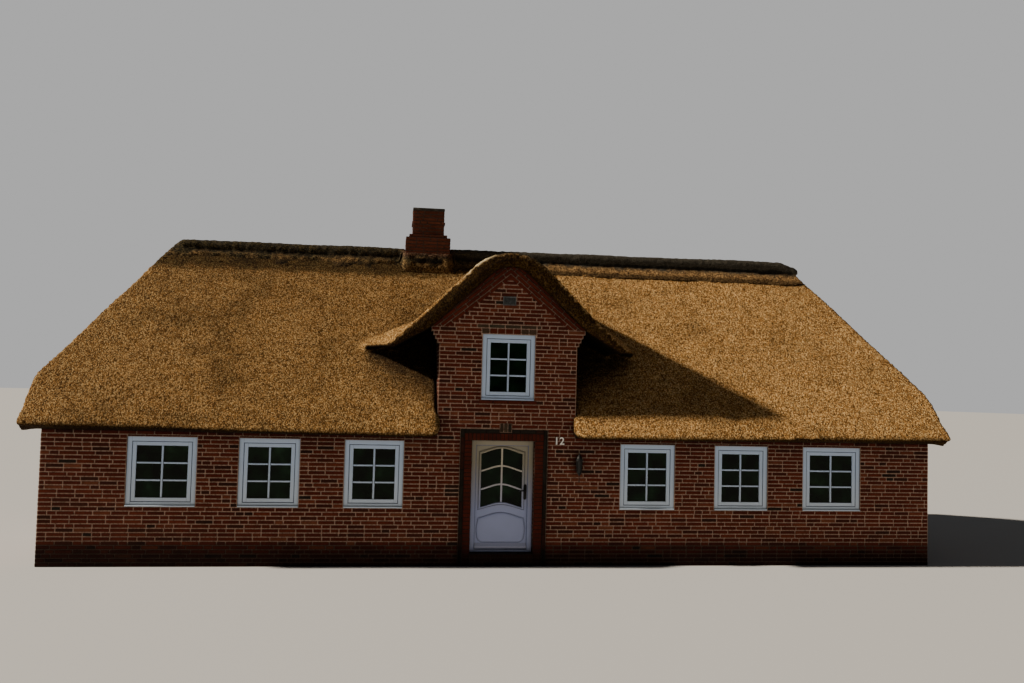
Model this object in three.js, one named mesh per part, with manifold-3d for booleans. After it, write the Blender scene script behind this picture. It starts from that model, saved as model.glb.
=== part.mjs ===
// Thatched brick cottage with a gabled dormer over its front door.
// Millimetres, +Z up. The origin is on the ground under the middle of the ridge.
// +X runs along the ridge to the right, -Y is the side with the front door.
import * as THREE from 'three';
import { ConvexGeometry } from 'three/addons/geometries/ConvexGeometry.js';
import { mergeVertices } from 'three/addons/utils/BufferGeometryUtils.js';
import Module from 'manifold-3d';

const wasm = await Module();
wasm.setup();

// Gap left between two pieces that touch
const FIT = 0.3;
const FAR = 20000;

// Walls
const HOUSE_LENGTH = 15000;
const HOUSE_DEPTH = 6000;
const WALL = 300;
const OUTER_LEAF = 150;
const HALF_LENGTH = HOUSE_LENGTH / 2;
const HALF_DEPTH = HOUSE_DEPTH / 2;

// Floors
const GROUND_FLOOR_TOP = 200;
const UPPER_FLOOR_BOTTOM = 2100;
const UPPER_FLOOR_TOP = 2260;

// Main roof: 45 degree long slopes, 60 degree hips that stop above the end walls
const RIDGE_HEIGHT = 5540;
const THATCH = 280;
const SLOPE_DROP = THATCH * Math.SQRT2;
const EAVE_REACH = 310;
const EAVE_END_REACH = 240;
const RIDGE_HALF = 6340;
const HIP_HALF = 7800;
const HIP_TAN = Math.tan(Math.PI / 3);
const HIP_THATCH_X = THATCH / Math.sin(Math.PI / 3);

// Dormer, set out from its own axis
const DORMER_X = -130;
const DORMER_HALF = 1170;
const GABLE = { line: 5190, crown: 5020, tan: 0.931 };
const VERGE = { line: 5592, crown: 5243, tan: 0.9657 };
const VERGE_REACH = 100;
const DORMER_BACK = 295;
const DORMER_EAVE_HALF = 1985;
const DORMER_EAVE_HEIGHT = 3630;
const SWEEP_HALF = 2750;
const SWEEP_BACK = 1300;
const SHOULDER_HALF = 1310;
const SHOULDER_STEPS = 4;
const COURSE = 67.3;
const CHEEK = 200;
const CHEEK_BACK = 1200;

// Front door
const DOOR_X = DORMER_X - 50;
const DOOR_WIDTH = 1060;
const DOOR_BOTTOM = 210;
const DOOR_HEAD = 2080;
const DOOR_RECESS = 120;
const DOOR_FRAME_DEPTH = 80;
const DOOR_JAMB = 65;
const DOOR_LIP = 15;
const THRESHOLD = 40;
const LEAF = 50;
const HINGE_GAP = 6;
const LOCK_GAP = 8;
const LEAF_STILE = 105;
const HINGE_HEIGHTS = [450, 1130, 1800];
const HINGE_TALL = 100;
const HINGE_DEPTH = 30;
const GLASS = 12;

// Windows
const WINDOW_HEIGHT = 1110;
const WINDOW_WIDTH = 965;
const WIDE_WINDOW = 1075;
const WINDOW_BOTTOM = 946;
const DORMER_WINDOW_WIDTH = 900;
const DORMER_WINDOW_BOTTOM = 2762;
const WINDOW_RECESS = 20;
const FRAME_DEPTH = 80;
const FRAME_FACE = 75;
const SASH_FACE = 60;
const SASH_SETBACK = 12;
const FRONT_WINDOWS = [
  { x: 2320, width: WINDOW_WIDTH },
  { x: 4000, width: WINDOW_WIDTH },
  { x: 5670, width: WIDE_WINDOW },
];
const BACK_WINDOW_XS = [-5670, -2320, 2320, 5670];

// Chimney
const CHIMNEY_X = -1435;
const STACK = [610, 480];
const STACK_FOOT = [870, 600];
const FOOT_BOTTOM = 4400;
const FOOT_TOP = 5890;
const STEP = [740, 540];
const STEP_TOP = 5950;
const STACK_TOP = 6430;
const CHIMNEY_CAP = [630, 500];
const CHIMNEY_CAP_THICK = 55;

// Ridge cover, with the axis of its roll left of the chimney and right of it
const SKIRT_DROP = 285;
const SKIRT_THICK = 38;
const ROLL_RADIUS = 120;
const ROLL_LEFT = [[-6130, 5560], [CHIMNEY_X, 5575]];
const ROLL_RIGHT = [[CHIMNEY_X, 5597], [5980, 5645], [6300, 5545]];

// Wall lantern and door handle
const LANTERN_X = 1107;
const LANTERN_BOTTOM = 1410;
const HANDLE_X = 402;
const HANDLE_Z = 1215;

const COLOURS = {
  brick: 0x7d3526,
  thatch: 0x9a7440,
  ridge: 0x3c3a30,
  white: 0xd9dce2,
  glass: 0x1c2522,
  timber: 0x8a6a48,
  screed: 0x9b968c,
  metal: 0x1d1e20,
  stone: 0x55524c,
};

const cottage = new THREE.Group();

function piece(name, geometry, colour, roughness = 0.85, metalness = 0) {
  const material = new THREE.MeshStandardMaterial({ color: colour, roughness, metalness });
  const mesh = new THREE.Mesh(geometry, material);
  mesh.name = name;
  cottage.add(mesh);
  return mesh;
}

// Booleans on closed meshes
function toSolid(geometry) {
  const bare = geometry.clone();
  for (const name of Object.keys(bare.attributes)) {
    if (name !== 'position') bare.deleteAttribute(name);
  }
  const merged = mergeVertices(bare, 1e-3);
  const vertProperties = new Float32Array(merged.attributes.position.array);
  const triVerts = new Uint32Array(merged.index.array);
  return new wasm.Manifold(new wasm.Mesh({ numProp: 3, vertProperties, triVerts }));
}

function toGeometry(solid) {
  const mesh = solid.getMesh();
  const geometry = new THREE.BufferGeometry();
  geometry.setAttribute('position', new THREE.BufferAttribute(mesh.vertProperties, 3));
  geometry.setIndex(new THREE.BufferAttribute(mesh.triVerts, 1));
  geometry.computeVertexNormals();
  return geometry;
}

function cut(geometry, ...cutters) {
  let solid = toSolid(geometry);
  for (const cutter of cutters) solid = solid.subtract(toSolid(cutter));
  return toGeometry(solid);
}

function join(...parts) {
  let solid = toSolid(parts[0]);
  for (const part of parts.slice(1)) solid = solid.add(toSolid(part));
  return toGeometry(solid);
}

// Basic forms, placed where they stand
function block(x0, x1, y0, y1, z0, z1) {
  const geometry = new THREE.BoxGeometry(x1 - x0, y1 - y0, z1 - z0);
  return geometry.translate((x0 + x1) / 2, (y0 + y1) / 2, (z0 + z1) / 2);
}

function outline(points) {
  return new THREE.Shape(points.map(([a, b]) => new THREE.Vector2(a, b)));
}

function extrude(shape, depth) {
  return new THREE.ExtrudeGeometry(shape, { depth, bevelEnabled: false, curveSegments: 10 });
}

// A shape drawn in X and Z, run along Y from y0 to y1
function alongY(shape, y0, y1) {
  return extrude(shape, y1 - y0).rotateX(Math.PI / 2).translate(0, y1, 0);
}

// A shape drawn in Y and Z, run along X from x0 to x1
function alongX(shape, x0, x1) {
  const turn = new THREE.Matrix4().makeBasis(
    new THREE.Vector3(0, 1, 0),
    new THREE.Vector3(0, 0, 1),
    new THREE.Vector3(1, 0, 0),
  );
  return extrude(shape, x1 - x0).applyMatrix4(turn).translate(x0, 0, 0);
}

function hull(points) {
  return new ConvexGeometry(points.map(([x, y, z]) => new THREE.Vector3(x, y, z)));
}

// Roof planes: heights of the thatch's outer and inner faces
const slopeTop = (y) => RIDGE_HEIGHT - Math.abs(y);
const slopeUnder = (y) => RIDGE_HEIGHT - SLOPE_DROP - Math.abs(y);
const hipTopX = (z) => RIDGE_HALF + (RIDGE_HEIGHT - z) / HIP_TAN;
const hipUnderX = (z) => hipTopX(z) - HIP_THATCH_X;
const hipUnderZ = (x) => RIDGE_HEIGHT - (x + HIP_THATCH_X - RIDGE_HALF) * HIP_TAN;

// Dormer profile: two sloping lines with a round crown, shrunk by a gap
function crownShape(profile, half, gap = 0) {
  const slope = Math.atan(profile.tan);
  const top = profile.crown - gap;
  const lineTop = profile.line - gap / Math.cos(slope);
  const radius = (lineTop - top) / (1 / Math.cos(slope) - 1);
  const height = (x) => lineTop - Math.abs(x) * profile.tan;
  const shape = new THREE.Shape();
  shape.moveTo(half, height(half));
  shape.lineTo(radius * Math.sin(slope), top - radius + radius * Math.cos(slope));
  shape.absarc(0, top - radius, radius, Math.PI / 2 - slope, Math.PI / 2 + slope, false);
  shape.lineTo(-half, height(half));
  return shape;
}

const dormerUnder = (x, gap = 0) =>
  GABLE.line - Math.abs(x) * GABLE.tan - gap / Math.cos(Math.atan(GABLE.tan));

function windowHole(x, width, bottom, y0, y1) {
  return block(x - width / 2, x + width / 2, y0, y1, bottom, bottom + WINDOW_HEIGHT);
}

// Part of the chimney between two heights, grown by a gap
function stackBlock([width, depth], z0, z1, gap = 0) {
  const x = width / 2 + gap;
  const y = depth / 2 + gap;
  return block(CHIMNEY_X - x, CHIMNEY_X + x, -y, y, z0, z1);
}

// Walls
function longWallSection(side) {
  const outer = HALF_DEPTH;
  const middle = HALF_DEPTH - OUTER_LEAF;
  const inner = HALF_DEPTH - WALL;
  return outline([
    [side * outer, 0],
    [side * outer, slopeUnder(outer) - FIT],
    [side * middle, slopeUnder(middle) - FIT],
    [side * middle, UPPER_FLOOR_BOTTOM],
    [side * inner, UPPER_FLOOR_BOTTOM],
    [side * inner, 0],
  ]);
}

// Beyond the upper floor the wall is full thickness up to the thatch
function longWall(side, x0, x1, ends) {
  const outer = HALF_DEPTH;
  const inner = HALF_DEPTH - WALL;
  const solid = outline([
    [side * outer, 0],
    [side * outer, slopeUnder(outer) - FIT],
    [side * inner, slopeUnder(inner) - FIT],
    [side * inner, 0],
  ]);
  const returns = ends.map((end) => {
    const a = end * (HALF_LENGTH - OUTER_LEAF);
    const b = end * HALF_LENGTH;
    return alongX(solid, Math.min(a, b), Math.max(a, b));
  });
  return join(alongX(longWallSection(side), x0, x1), ...returns);
}

function frontWall(side) {
  const doorEdge = DOOR_X + (side * DOOR_WIDTH) / 2;
  const end = side * HALF_LENGTH;
  const x0 = Math.min(doorEdge, end);
  const x1 = Math.max(doorEdge, end);
  const wall = longWall(-1, x0, x1, [side]);
  const holes = FRONT_WINDOWS.map(({ x, width }) =>
    windowHole(side * x, width, WINDOW_BOTTOM, -HALF_DEPTH - 10, -HALF_DEPTH + WALL + 10));
  const seat = block(
    DORMER_X - DORMER_HALF, DORMER_X + DORMER_HALF,
    -HALF_DEPTH - 10, -HALF_DEPTH + WALL + 10, DOOR_HEAD, FAR,
  );
  return cut(wall, ...holes, seat);
}

piece('front_wall_left', frontWall(-1), COLOURS.brick);
piece('front_wall_right', frontWall(1), COLOURS.brick);

function backWall() {
  const wall = longWall(1, -HALF_LENGTH, HALF_LENGTH, [-1, 1]);
  const holes = BACK_WINDOW_XS.map((x) =>
    windowHole(x, WINDOW_WIDTH, WINDOW_BOTTOM, HALF_DEPTH - WALL - 10, HALF_DEPTH + 10));
  return cut(wall, ...holes);
}

piece('back_wall', backWall(), COLOURS.brick);

function endWall(side) {
  const inner = HALF_LENGTH - WALL;
  const shoulder = HALF_DEPTH - WALL - FIT;
  const peak = hipUnderZ(inner);
  const shape = outline([
    [-shoulder, 0],
    [shoulder, 0],
    [shoulder, slopeUnder(shoulder) - FIT],
    [RIDGE_HEIGHT - SLOPE_DROP - peak, peak - FIT],
    [-(RIDGE_HEIGHT - SLOPE_DROP - peak), peak - FIT],
    [-shoulder, slopeUnder(shoulder) - FIT],
  ]);
  const x0 = side > 0 ? inner : -HALF_LENGTH;
  const wall = alongX(shape, x0, x0 + WALL);
  const hipSide = side * (HALF_LENGTH + 10);
  const hipInner = side * (inner - 10);
  const hipCut = alongY(outline(side > 0
    ? [[hipSide, hipUnderZ(HALF_LENGTH + 10) - FIT], [hipSide, FAR], [hipInner, FAR],
      [hipInner, hipUnderZ(inner - 10) - FIT]]
    : [[hipSide, FAR], [hipSide, hipUnderZ(HALF_LENGTH + 10) - FIT],
      [hipInner, hipUnderZ(inner - 10) - FIT], [hipInner, FAR]]), -FAR, FAR);
  const window = block(
    x0 - 10, x0 + WALL + 10, -WINDOW_WIDTH / 2, WINDOW_WIDTH / 2,
    WINDOW_BOTTOM, WINDOW_BOTTOM + WINDOW_HEIGHT,
  );
  const pocket = block(
    side > 0 ? inner - 10 : -HALF_LENGTH + OUTER_LEAF,
    side > 0 ? HALF_LENGTH - OUTER_LEAF : -inner + 10,
    -HALF_DEPTH, HALF_DEPTH, UPPER_FLOOR_BOTTOM, UPPER_FLOOR_TOP + FIT,
  );
  return cut(wall, hipCut, window, pocket);
}

piece('end_wall_left', endWall(-1), COLOURS.brick);
piece('end_wall_right', endWall(1), COLOURS.brick);

// Gable over the door: corbelled shoulders under a crowned top
function gableWall() {
  const crown = crownShape(GABLE, SHOULDER_HALF, FIT);
  const points = crown.getPoints(10).map((p) => [p.x, p.y]);
  const step = (SHOULDER_HALF - DORMER_HALF) / SHOULDER_STEPS;
  const shoulderTop = points[0][1];
  const side = [[SHOULDER_HALF, shoulderTop - COURSE]];
  for (let i = 1; i <= SHOULDER_STEPS; i += 1) {
    const half = SHOULDER_HALF - i * step;
    side.push([half, shoulderTop - i * COURSE]);
    if (i < SHOULDER_STEPS) side.push([half, shoulderTop - (i + 1) * COURSE]);
  }
  const bottom = DOOR_HEAD + FIT;
  const right = side.concat([[DORMER_HALF, bottom]]);
  const left = right.map(([x, z]) => [-x, z]);
  const wall = alongY(
    outline([...points, ...left, ...right.reverse()]),
    -HALF_DEPTH, -HALF_DEPTH + WALL,
  ).translate(DORMER_X, 0, 0);
  const window = windowHole(
    DORMER_X, DORMER_WINDOW_WIDTH, DORMER_WINDOW_BOTTOM,
    -HALF_DEPTH - 10, -HALF_DEPTH + WALL + 10,
  );
  const floorPocket = block(
    -FAR, FAR, -HALF_DEPTH + OUTER_LEAF, -HALF_DEPTH + WALL + 10, 0, UPPER_FLOOR_TOP + FIT,
  );
  return cut(wall, window, floorPocket);
}

piece('gable_wall', gableWall(), COLOURS.brick);

function cheek(side) {
  const outer = DORMER_HALF - FIT;
  const inner = DORMER_HALF - CHEEK;
  const bottom = UPPER_FLOOR_TOP + FIT;
  const half = [[inner, bottom], [outer, bottom],
    [outer, dormerUnder(outer, FIT)], [inner, dormerUnder(inner, FIT)]];
  const points = side > 0 ? half : half.map(([x, z]) => [-x, z]).reverse();
  const wall = alongY(outline(points), -HALF_DEPTH + WALL + FIT, -CHEEK_BACK);
  return wall.translate(DORMER_X, 0, 0);
}

piece('dormer_cheek_left', cheek(-1), COLOURS.brick);
piece('dormer_cheek_right', cheek(1), COLOURS.brick);

// Floors
function slabWithStack(half, depth, z0, z1) {
  return cut(block(-half, half, -depth, depth, z0, z1), stackBlock(STACK, z0 - 10, z1 + 10, FIT));
}

const roomHalf = HALF_LENGTH - WALL - FIT;
const roomDepth = HALF_DEPTH - WALL - FIT;
piece('ground_floor', block(-roomHalf, roomHalf, -roomDepth, roomDepth, 0, GROUND_FLOOR_TOP),
  COLOURS.screed);
piece('upper_floor', slabWithStack(
  HALF_LENGTH - OUTER_LEAF - FIT, HALF_DEPTH - OUTER_LEAF - FIT,
  UPPER_FLOOR_BOTTOM + FIT, UPPER_FLOOR_TOP,
), COLOURS.timber);

// Main roof slabs. Each is convex before the chimney and the dormer are cut out.
// mitreY gives, at a height and a place along the ridge, where hip and slope meet.
const mitreA = new THREE.Vector3(RIDGE_HALF, 0, RIDGE_HEIGHT);
const mitreB = new THREE.Vector3(HIP_HALF, RIDGE_HEIGHT - hipTopZ(HIP_HALF), hipTopZ(HIP_HALF));
const mitreC = new THREE.Vector3(hipUnderX(slopeUnder(0)), 0, slopeUnder(0));
const mitre = new THREE.Plane().setFromCoplanarPoints(mitreA, mitreB, mitreC);

function hipTopZ(x) {
  return RIDGE_HEIGHT - (x - RIDGE_HALF) * HIP_TAN;
}

function mitreY(x, z) {
  return -(mitre.normal.x * x + mitre.normal.z * z + mitre.constant) / mitre.normal.y;
}

// Outer rim of a long eave, from the slope round to the wall
function eaveRim(reach) {
  const nose = HALF_DEPTH + reach;
  return [
    [nose - 35, slopeTop(nose - 35)],
    [nose, slopeTop(nose) - 15],
    [nose - 15, slopeTop(nose) - 55],
    [nose - 60, slopeTop(nose) - 70],
    [HALF_DEPTH, slopeUnder(HALF_DEPTH)],
  ];
}

// Corners of a slope from x0 to the end of the house on that side
function slopeCorners(side, x0) {
  const end = Math.sign(HIP_HALF * (x0 < 0 ? -1 : 1));
  const underEndZ = hipUnderZ(HIP_HALF);
  const points = [
    [RIDGE_HALF, FIT / 2, RIDGE_HEIGHT],
    [mitreC.x, FIT / 2, mitreC.z],
    [HIP_HALF, mitreB.y + FIT / 2, mitreB.z],
    [HIP_HALF, mitreY(HIP_HALF, underEndZ) + FIT / 2, underEndZ],
    ...eaveRim(EAVE_END_REACH).map(([y, z]) => [HIP_HALF, y, z]),
    ...eaveRim(EAVE_REACH).map(([y, z]) => [end * x0, y, z]),
    [end * x0, FIT / 2, RIDGE_HEIGHT],
    [end * x0, FIT / 2, mitreC.z],
  ];
  return points.map(([x, y, z]) => [end * x, side * y, z]);
}

const slopeSlab = (side, x0) => hull(slopeCorners(side, x0));

const chimneyHole = stackBlock(STACK_FOOT, FOOT_BOTTOM - 10, FAR, FIT);

piece('thatch_front_left', cut(slopeSlab(-1, DORMER_X - DORMER_HALF - FIT), chimneyHole),
  COLOURS.thatch, 0.95);
piece('thatch_front_right', slopeSlab(-1, DORMER_X + DORMER_HALF + FIT), COLOURS.thatch, 0.95);

piece('thatch_back', cut(hull([...slopeCorners(1, -1), ...slopeCorners(1, 1)]), chimneyHole),
  COLOURS.thatch, 0.95);

function hipSlab(side) {
  const rim = [
    [HIP_HALF, hipTopZ(HIP_HALF)],
    [HIP_HALF - 10, hipTopZ(HIP_HALF) - 60],
    [HIP_HALF - 50, hipTopZ(HIP_HALF) - 85],
    [HALF_LENGTH, hipUnderZ(HALF_LENGTH)],
  ];
  const points = [
    [RIDGE_HALF + FIT, 0, RIDGE_HEIGHT - FIT],
    [mitreC.x + FIT, 0, mitreC.z - FIT],
  ];
  for (const [x, z] of rim) {
    const y = mitreY(x, z) - FIT / 2;
    points.push([x, y, z], [x, -y, z]);
  }
  return hull(points.map(([x, y, z]) => [side * x, y, z]));
}

piece('thatch_hip_left', hipSlab(-1), COLOURS.thatch, 0.95);
piece('thatch_hip_right', hipSlab(1), COLOURS.thatch, 0.95);

// Dormer thatch: a crowned sheet whose eaves sweep out into the main slope
function dormerProfile(gap = 0) {
  const outer = crownShape(VERGE, DORMER_EAVE_HALF - 30).getPoints(14);
  const under = crownShape(GABLE, SHOULDER_HALF + 25, gap).getPoints(14);
  const tip = [DORMER_EAVE_HALF, DORMER_EAVE_HEIGHT];
  return outline([
    ...outer.map((p) => [p.x, p.y]),
    [-tip[0], tip[1]],
    [-tip[0] + 30, tip[1] - 30],
    ...under.reverse().map((p) => [p.x, p.y]),
    [tip[0] - 30, tip[1] - 30],
    tip,
  ]);
}

function sweep(side) {
  const front = -HALF_DEPTH - VERGE_REACH;
  const back = -SWEEP_BACK;
  const root = 1600;
  const lift = 25;
  const points = [];
  for (const [y, tip] of [[front, DORMER_EAVE_HALF], [back, SWEEP_HALF]]) {
    points.push(
      [root, y, VERGE.line - root * VERGE.tan],
      [tip, y, DORMER_EAVE_HEIGHT + lift],
      [tip - 30, y, DORMER_EAVE_HEIGHT - 30],
      [SHOULDER_HALF + 60, y, dormerUnder(SHOULDER_HALF + 60) + lift],
    );
  }
  return hull(points.map(([x, y, z]) => [side * x, y, z]));
}

// Everything under the long slope's top between two places along the ridge
function underSlope(x0, x1) {
  const foot = HALF_DEPTH + EAVE_REACH + 100;
  return alongX(outline([
    [0, 0],
    [0, slopeTop(0) + 2 * FIT],
    [-foot, slopeTop(foot) + 2 * FIT],
    [-foot, 0],
  ]), x0, x1);
}

function dormerThatch() {
  const sheet = alongY(dormerProfile(), -HALF_DEPTH - VERGE_REACH, -DORMER_BACK);
  const whole = join(sheet, sweep(-1), sweep(1));
  const trimmed = cut(whole, underSlope(-FAR, -DORMER_HALF), underSlope(DORMER_HALF, FAR));
  return cut(trimmed.translate(DORMER_X, 0, 0), chimneyHole);
}

piece('thatch_dormer', dormerThatch(), COLOURS.thatch, 0.95);

// Slab above the dormer, with the dormer's roof space cut away under it
function middleSlab() {
  const slab = alongX(outline([
    [-FIT / 2, RIDGE_HEIGHT],
    [-1600, slopeTop(1600)],
    [-1600, slopeUnder(1600)],
    [-FIT / 2, mitreC.z],
  ]), -DORMER_HALF, DORMER_HALF);
  const full = crownShape(VERGE, DORMER_EAVE_HALF, -FIT);
  const points = full.getPoints(14).map((p) => [p.x, p.y]);
  const space = alongY(
    outline([...points, [-DORMER_EAVE_HALF, 0], [DORMER_EAVE_HALF, 0]]), -FAR, -DORMER_BACK + FIT,
  );
  return cut(cut(slab, space).translate(DORMER_X, 0, 0), chimneyHole);
}

piece('thatch_over_dormer', middleSlab(), COLOURS.thatch, 0.95);

// Ridge cover: a skirt folded over the ridge, a round roll on top and a bank round the chimney
function roofCap(height, drop, reach) {
  const peak = RIDGE_HEIGHT + height;
  const bottom = RIDGE_HEIGHT - drop;
  const y = peak - bottom;
  const x = reach + (peak - bottom) / HIP_TAN;
  return hull([
    [-reach, 0, peak], [reach, 0, peak],
    [-x, -y, bottom], [-x, y, bottom], [x, -y, bottom], [x, y, bottom],
  ]);
}

function roll(axis) {
  const ball = new THREE.IcosahedronGeometry(ROLL_RADIUS, 2).getAttribute('position');
  const parts = axis.slice(1).map((end, i) => hull([axis[i], end].flatMap(([x, z]) =>
    Array.from({ length: ball.count }, (_, k) =>
      [x + ball.getX(k), ball.getY(k), z + ball.getZ(k)]))));
  return parts.length > 1 ? join(...parts) : parts[0];
}

function chimneyBank() {
  const points = [];
  for (const [x, y, z] of [[560, 400, 5140], [525, 345, 5560], [480, 325, 5625]]) {
    points.push([-x, -y, z], [-x, y, z], [x, -y, z], [x, y, z]);
  }
  return hull(points.map(([x, y, z]) => [CHIMNEY_X + x, y, z]));
}

function ridgeCover() {
  const skirt = roofCap(SKIRT_THICK * Math.SQRT2, SKIRT_DROP, RIDGE_HALF - 50);
  const roof = roofCap(FIT * 2, SKIRT_DROP + 300, RIDGE_HALF + FIT * 2);
  return cut(join(skirt, roll(ROLL_LEFT), roll(ROLL_RIGHT), chimneyBank()), roof, chimneyHole);
}

piece('ridge_cover', ridgeCover(), COLOURS.ridge, 0.95);

// Chimney: a stack that stands on the ground floor, stepped where it leaves the roof
piece('chimney_stack', join(
  stackBlock(STACK, GROUND_FLOOR_TOP + FIT, STACK_TOP),
  stackBlock(STACK_FOOT, FOOT_BOTTOM, FOOT_TOP),
  stackBlock(STEP, FOOT_TOP - 10, STEP_TOP),
), COLOURS.brick);
piece('chimney_cap', stackBlock(CHIMNEY_CAP, STACK_TOP + FIT, STACK_TOP + CHIMNEY_CAP_THICK),
  COLOURS.stone);

// Windows: a frame with its sash in one piece, and a pane held inside it
function ring(width, height, face, y0, y1) {
  const shape = outline([[-width / 2, 0], [width / 2, 0], [width / 2, height], [-width / 2, height]]);
  const inner = width / 2 - face;
  shape.holes.push(outline([[-inner, face], [-inner, height - face], [inner, height - face],
    [inner, face]]));
  return alongY(shape, y0, y1);
}

function windowFrame(width) {
  const clear = width - 2 * FIT;
  const height = WINDOW_HEIGHT - 2 * FIT;
  const frame = ring(clear, height, FRAME_FACE, 0, FRAME_DEPTH);
  const overlap = 5;
  const sash = ring(
    clear - 2 * FRAME_FACE + 2 * overlap, height - 2 * FRAME_FACE + 2 * overlap,
    SASH_FACE + overlap, SASH_SETBACK, FRAME_DEPTH - SASH_SETBACK,
  ).translate(0, 0, FRAME_FACE - overlap);
  return join(frame, sash).translate(0, 0, FIT);
}

function windowPane(width) {
  const inset = FRAME_FACE + SASH_FACE + FIT;
  const half = width / 2 - inset - FIT;
  const middle = FRAME_DEPTH / 2;
  return block(-half, half, middle - GLASS / 2, middle + GLASS / 2,
    inset + FIT, WINDOW_HEIGHT - inset - FIT);
}

function window(name, width, x, y, z, turn) {
  const frame = piece(`${name}_frame`, windowFrame(width), COLOURS.white, 0.4);
  const pane = piece(`${name}_glass`, windowPane(width), COLOURS.glass, 0.05);
  for (const mesh of [frame, pane]) {
    mesh.position.set(x, y, z);
    mesh.rotation.z = turn;
  }
}

const windowNames = ['near', 'middle', 'far'];
for (const [side, word] of [[-1, 'left'], [1, 'right']]) {
  FRONT_WINDOWS.forEach(({ x, width }, i) => {
    window(`window_${word}_${windowNames[i]}`, width, side * x, -HALF_DEPTH + WINDOW_RECESS,
      WINDOW_BOTTOM, 0);
  });
  window(`window_${word}_end`, WINDOW_WIDTH, side * (HALF_LENGTH - WINDOW_RECESS), 0,
    WINDOW_BOTTOM, (side * Math.PI) / 2);
}
BACK_WINDOW_XS.forEach((x, i) => {
  window(`window_back_${i + 1}`, WINDOW_WIDTH, x, HALF_DEPTH - WINDOW_RECESS, WINDOW_BOTTOM, Math.PI);
});
window('window_dormer', DORMER_WINDOW_WIDTH, DORMER_X, -HALF_DEPTH + WINDOW_RECESS,
  DORMER_WINDOW_BOTTOM, 0);

// Front door
const doorFace = -HALF_DEPTH + DOOR_RECESS;
const frameHalf = DOOR_WIDTH / 2 - FIT;

piece('door_sill', block(
  DOOR_X - frameHalf, DOOR_X + frameHalf, -HALF_DEPTH - 30, -HALF_DEPTH + WALL,
  0, DOOR_BOTTOM - FIT,
), COLOURS.brick);

function doorRing(jamb, threshold, y0, y1) {
  const inner = frameHalf - jamb;
  const top = DOOR_HEAD - FIT;
  const shape = outline([[-frameHalf, DOOR_BOTTOM], [frameHalf, DOOR_BOTTOM], [frameHalf, top],
    [-frameHalf, top]]);
  shape.holes.push(outline([[-inner, DOOR_BOTTOM + threshold], [-inner, top - jamb],
    [inner, top - jamb], [inner, DOOR_BOTTOM + threshold]]));
  return alongY(shape, y0, y1).translate(DOOR_X, 0, 0);
}

const lipDepth = 20;
const leafLeft = -frameHalf + DOOR_JAMB + HINGE_GAP;
const leafRight = frameHalf - DOOR_JAMB - LOCK_GAP;
const leafBottom = DOOR_BOTTOM + THRESHOLD + LOCK_GAP;
const leafTop = DOOR_HEAD - DOOR_JAMB - HINGE_GAP;
const leafFront = doorFace + lipDepth + HINGE_GAP;
const leafBack = leafFront + LEAF;

// Three butt hinges fill the gap beside the leaf and carry it
function hinge(z) {
  return block(DOOR_X - frameHalf + DOOR_JAMB - 5, DOOR_X + leafLeft - FIT,
    leafBack - HINGE_DEPTH, leafBack, z - HINGE_TALL / 2, z + HINGE_TALL / 2);
}

piece('door_frame', join(
  doorRing(DOOR_JAMB + DOOR_LIP, THRESHOLD, doorFace, doorFace + lipDepth),
  doorRing(DOOR_JAMB, THRESHOLD, doorFace + lipDepth - 2, doorFace + DOOR_FRAME_DEPTH),
  ...HINGE_HEIGHTS.map(hinge),
), COLOURS.white, 0.4);

// Glazed upper part of the leaf: its top and bottom rise in the middle
const lightSides = { top: 1850, bottom: 957 };
const LIGHT_RISE = 85;

function lightShape(gap = 0) {
  const left = leafLeft + LEAF_STILE + gap;
  const right = leafRight - LEAF_STILE - gap;
  const middle = (left + right) / 2;
  const top = lightSides.top - gap;
  const bottom = lightSides.bottom + gap;
  const shape = new THREE.Shape();
  shape.moveTo(left, bottom);
  shape.quadraticCurveTo(middle, bottom + 2 * LIGHT_RISE, right, bottom);
  shape.lineTo(right, top);
  shape.quadraticCurveTo(middle, top + 2 * LIGHT_RISE, left, top);
  shape.lineTo(left, bottom);
  return shape;
}

function doorLeaf() {
  const slab = block(leafLeft, leafRight, leafFront, leafBack, leafBottom, leafTop);
  const light = alongY(lightShape(), leafFront - 10, leafBack + 10);
  return cut(slab, light).translate(DOOR_X, 0, 0);
}

piece('front_door', doorLeaf(), COLOURS.white, 0.4);
const glassFront = (leafFront + leafBack - GLASS) / 2;
piece('front_door_glass', alongY(lightShape(2 * FIT), glassFront, glassFront + GLASS)
  .translate(DOOR_X, 0, 0), COLOURS.glass, 0.05);

// Lever handle on its backplate
function doorHandle() {
  const plate = block(-27, 27, leafFront - 10, leafFront - FIT, -130, 130);
  const neck = new THREE.CylinderGeometry(11, 11, 45, 12).translate(0, leafFront - 30, 22);
  const lever = block(-120, 12, leafFront - 60, leafFront - 46, 11, 33);
  return join(plate, neck, lever).translate(DOOR_X + HANDLE_X, 0, HANDLE_Z);
}

piece('door_handle', doorHandle(), COLOURS.metal, 0.35, 0.8);

// Wall lantern: backplate, arm and a tapered six-sided body
function lantern() {
  const wall = -HALF_DEPTH - FIT;
  const plate = block(-28, 28, wall - 14, wall, 180, 400);
  const arm = block(-8, 8, wall - 85, wall - 10, 425, 441);
  const profile = [[0, 0], [11, 8], [11, 26], [6, 36], [9, 110], [30, 140], [40, 165], [56, 370],
    [63, 382], [36, 440], [12, 470], [8, 490], [0, 500]];
  const body = new THREE.LatheGeometry(profile.map(([x, z]) => new THREE.Vector2(x, z)), 6);
  body.rotateX(Math.PI / 2).translate(0, wall - 80, 0);
  const brace = block(-8, 8, wall - 20, wall - 5, 390, 441);
  return join(plate, brace, arm, body).translate(LANTERN_X, 0, LANTERN_BOTTOM);
}

piece('wall_lantern', lantern(), COLOURS.metal, 0.45, 0.6);

export default cottage;
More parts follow.
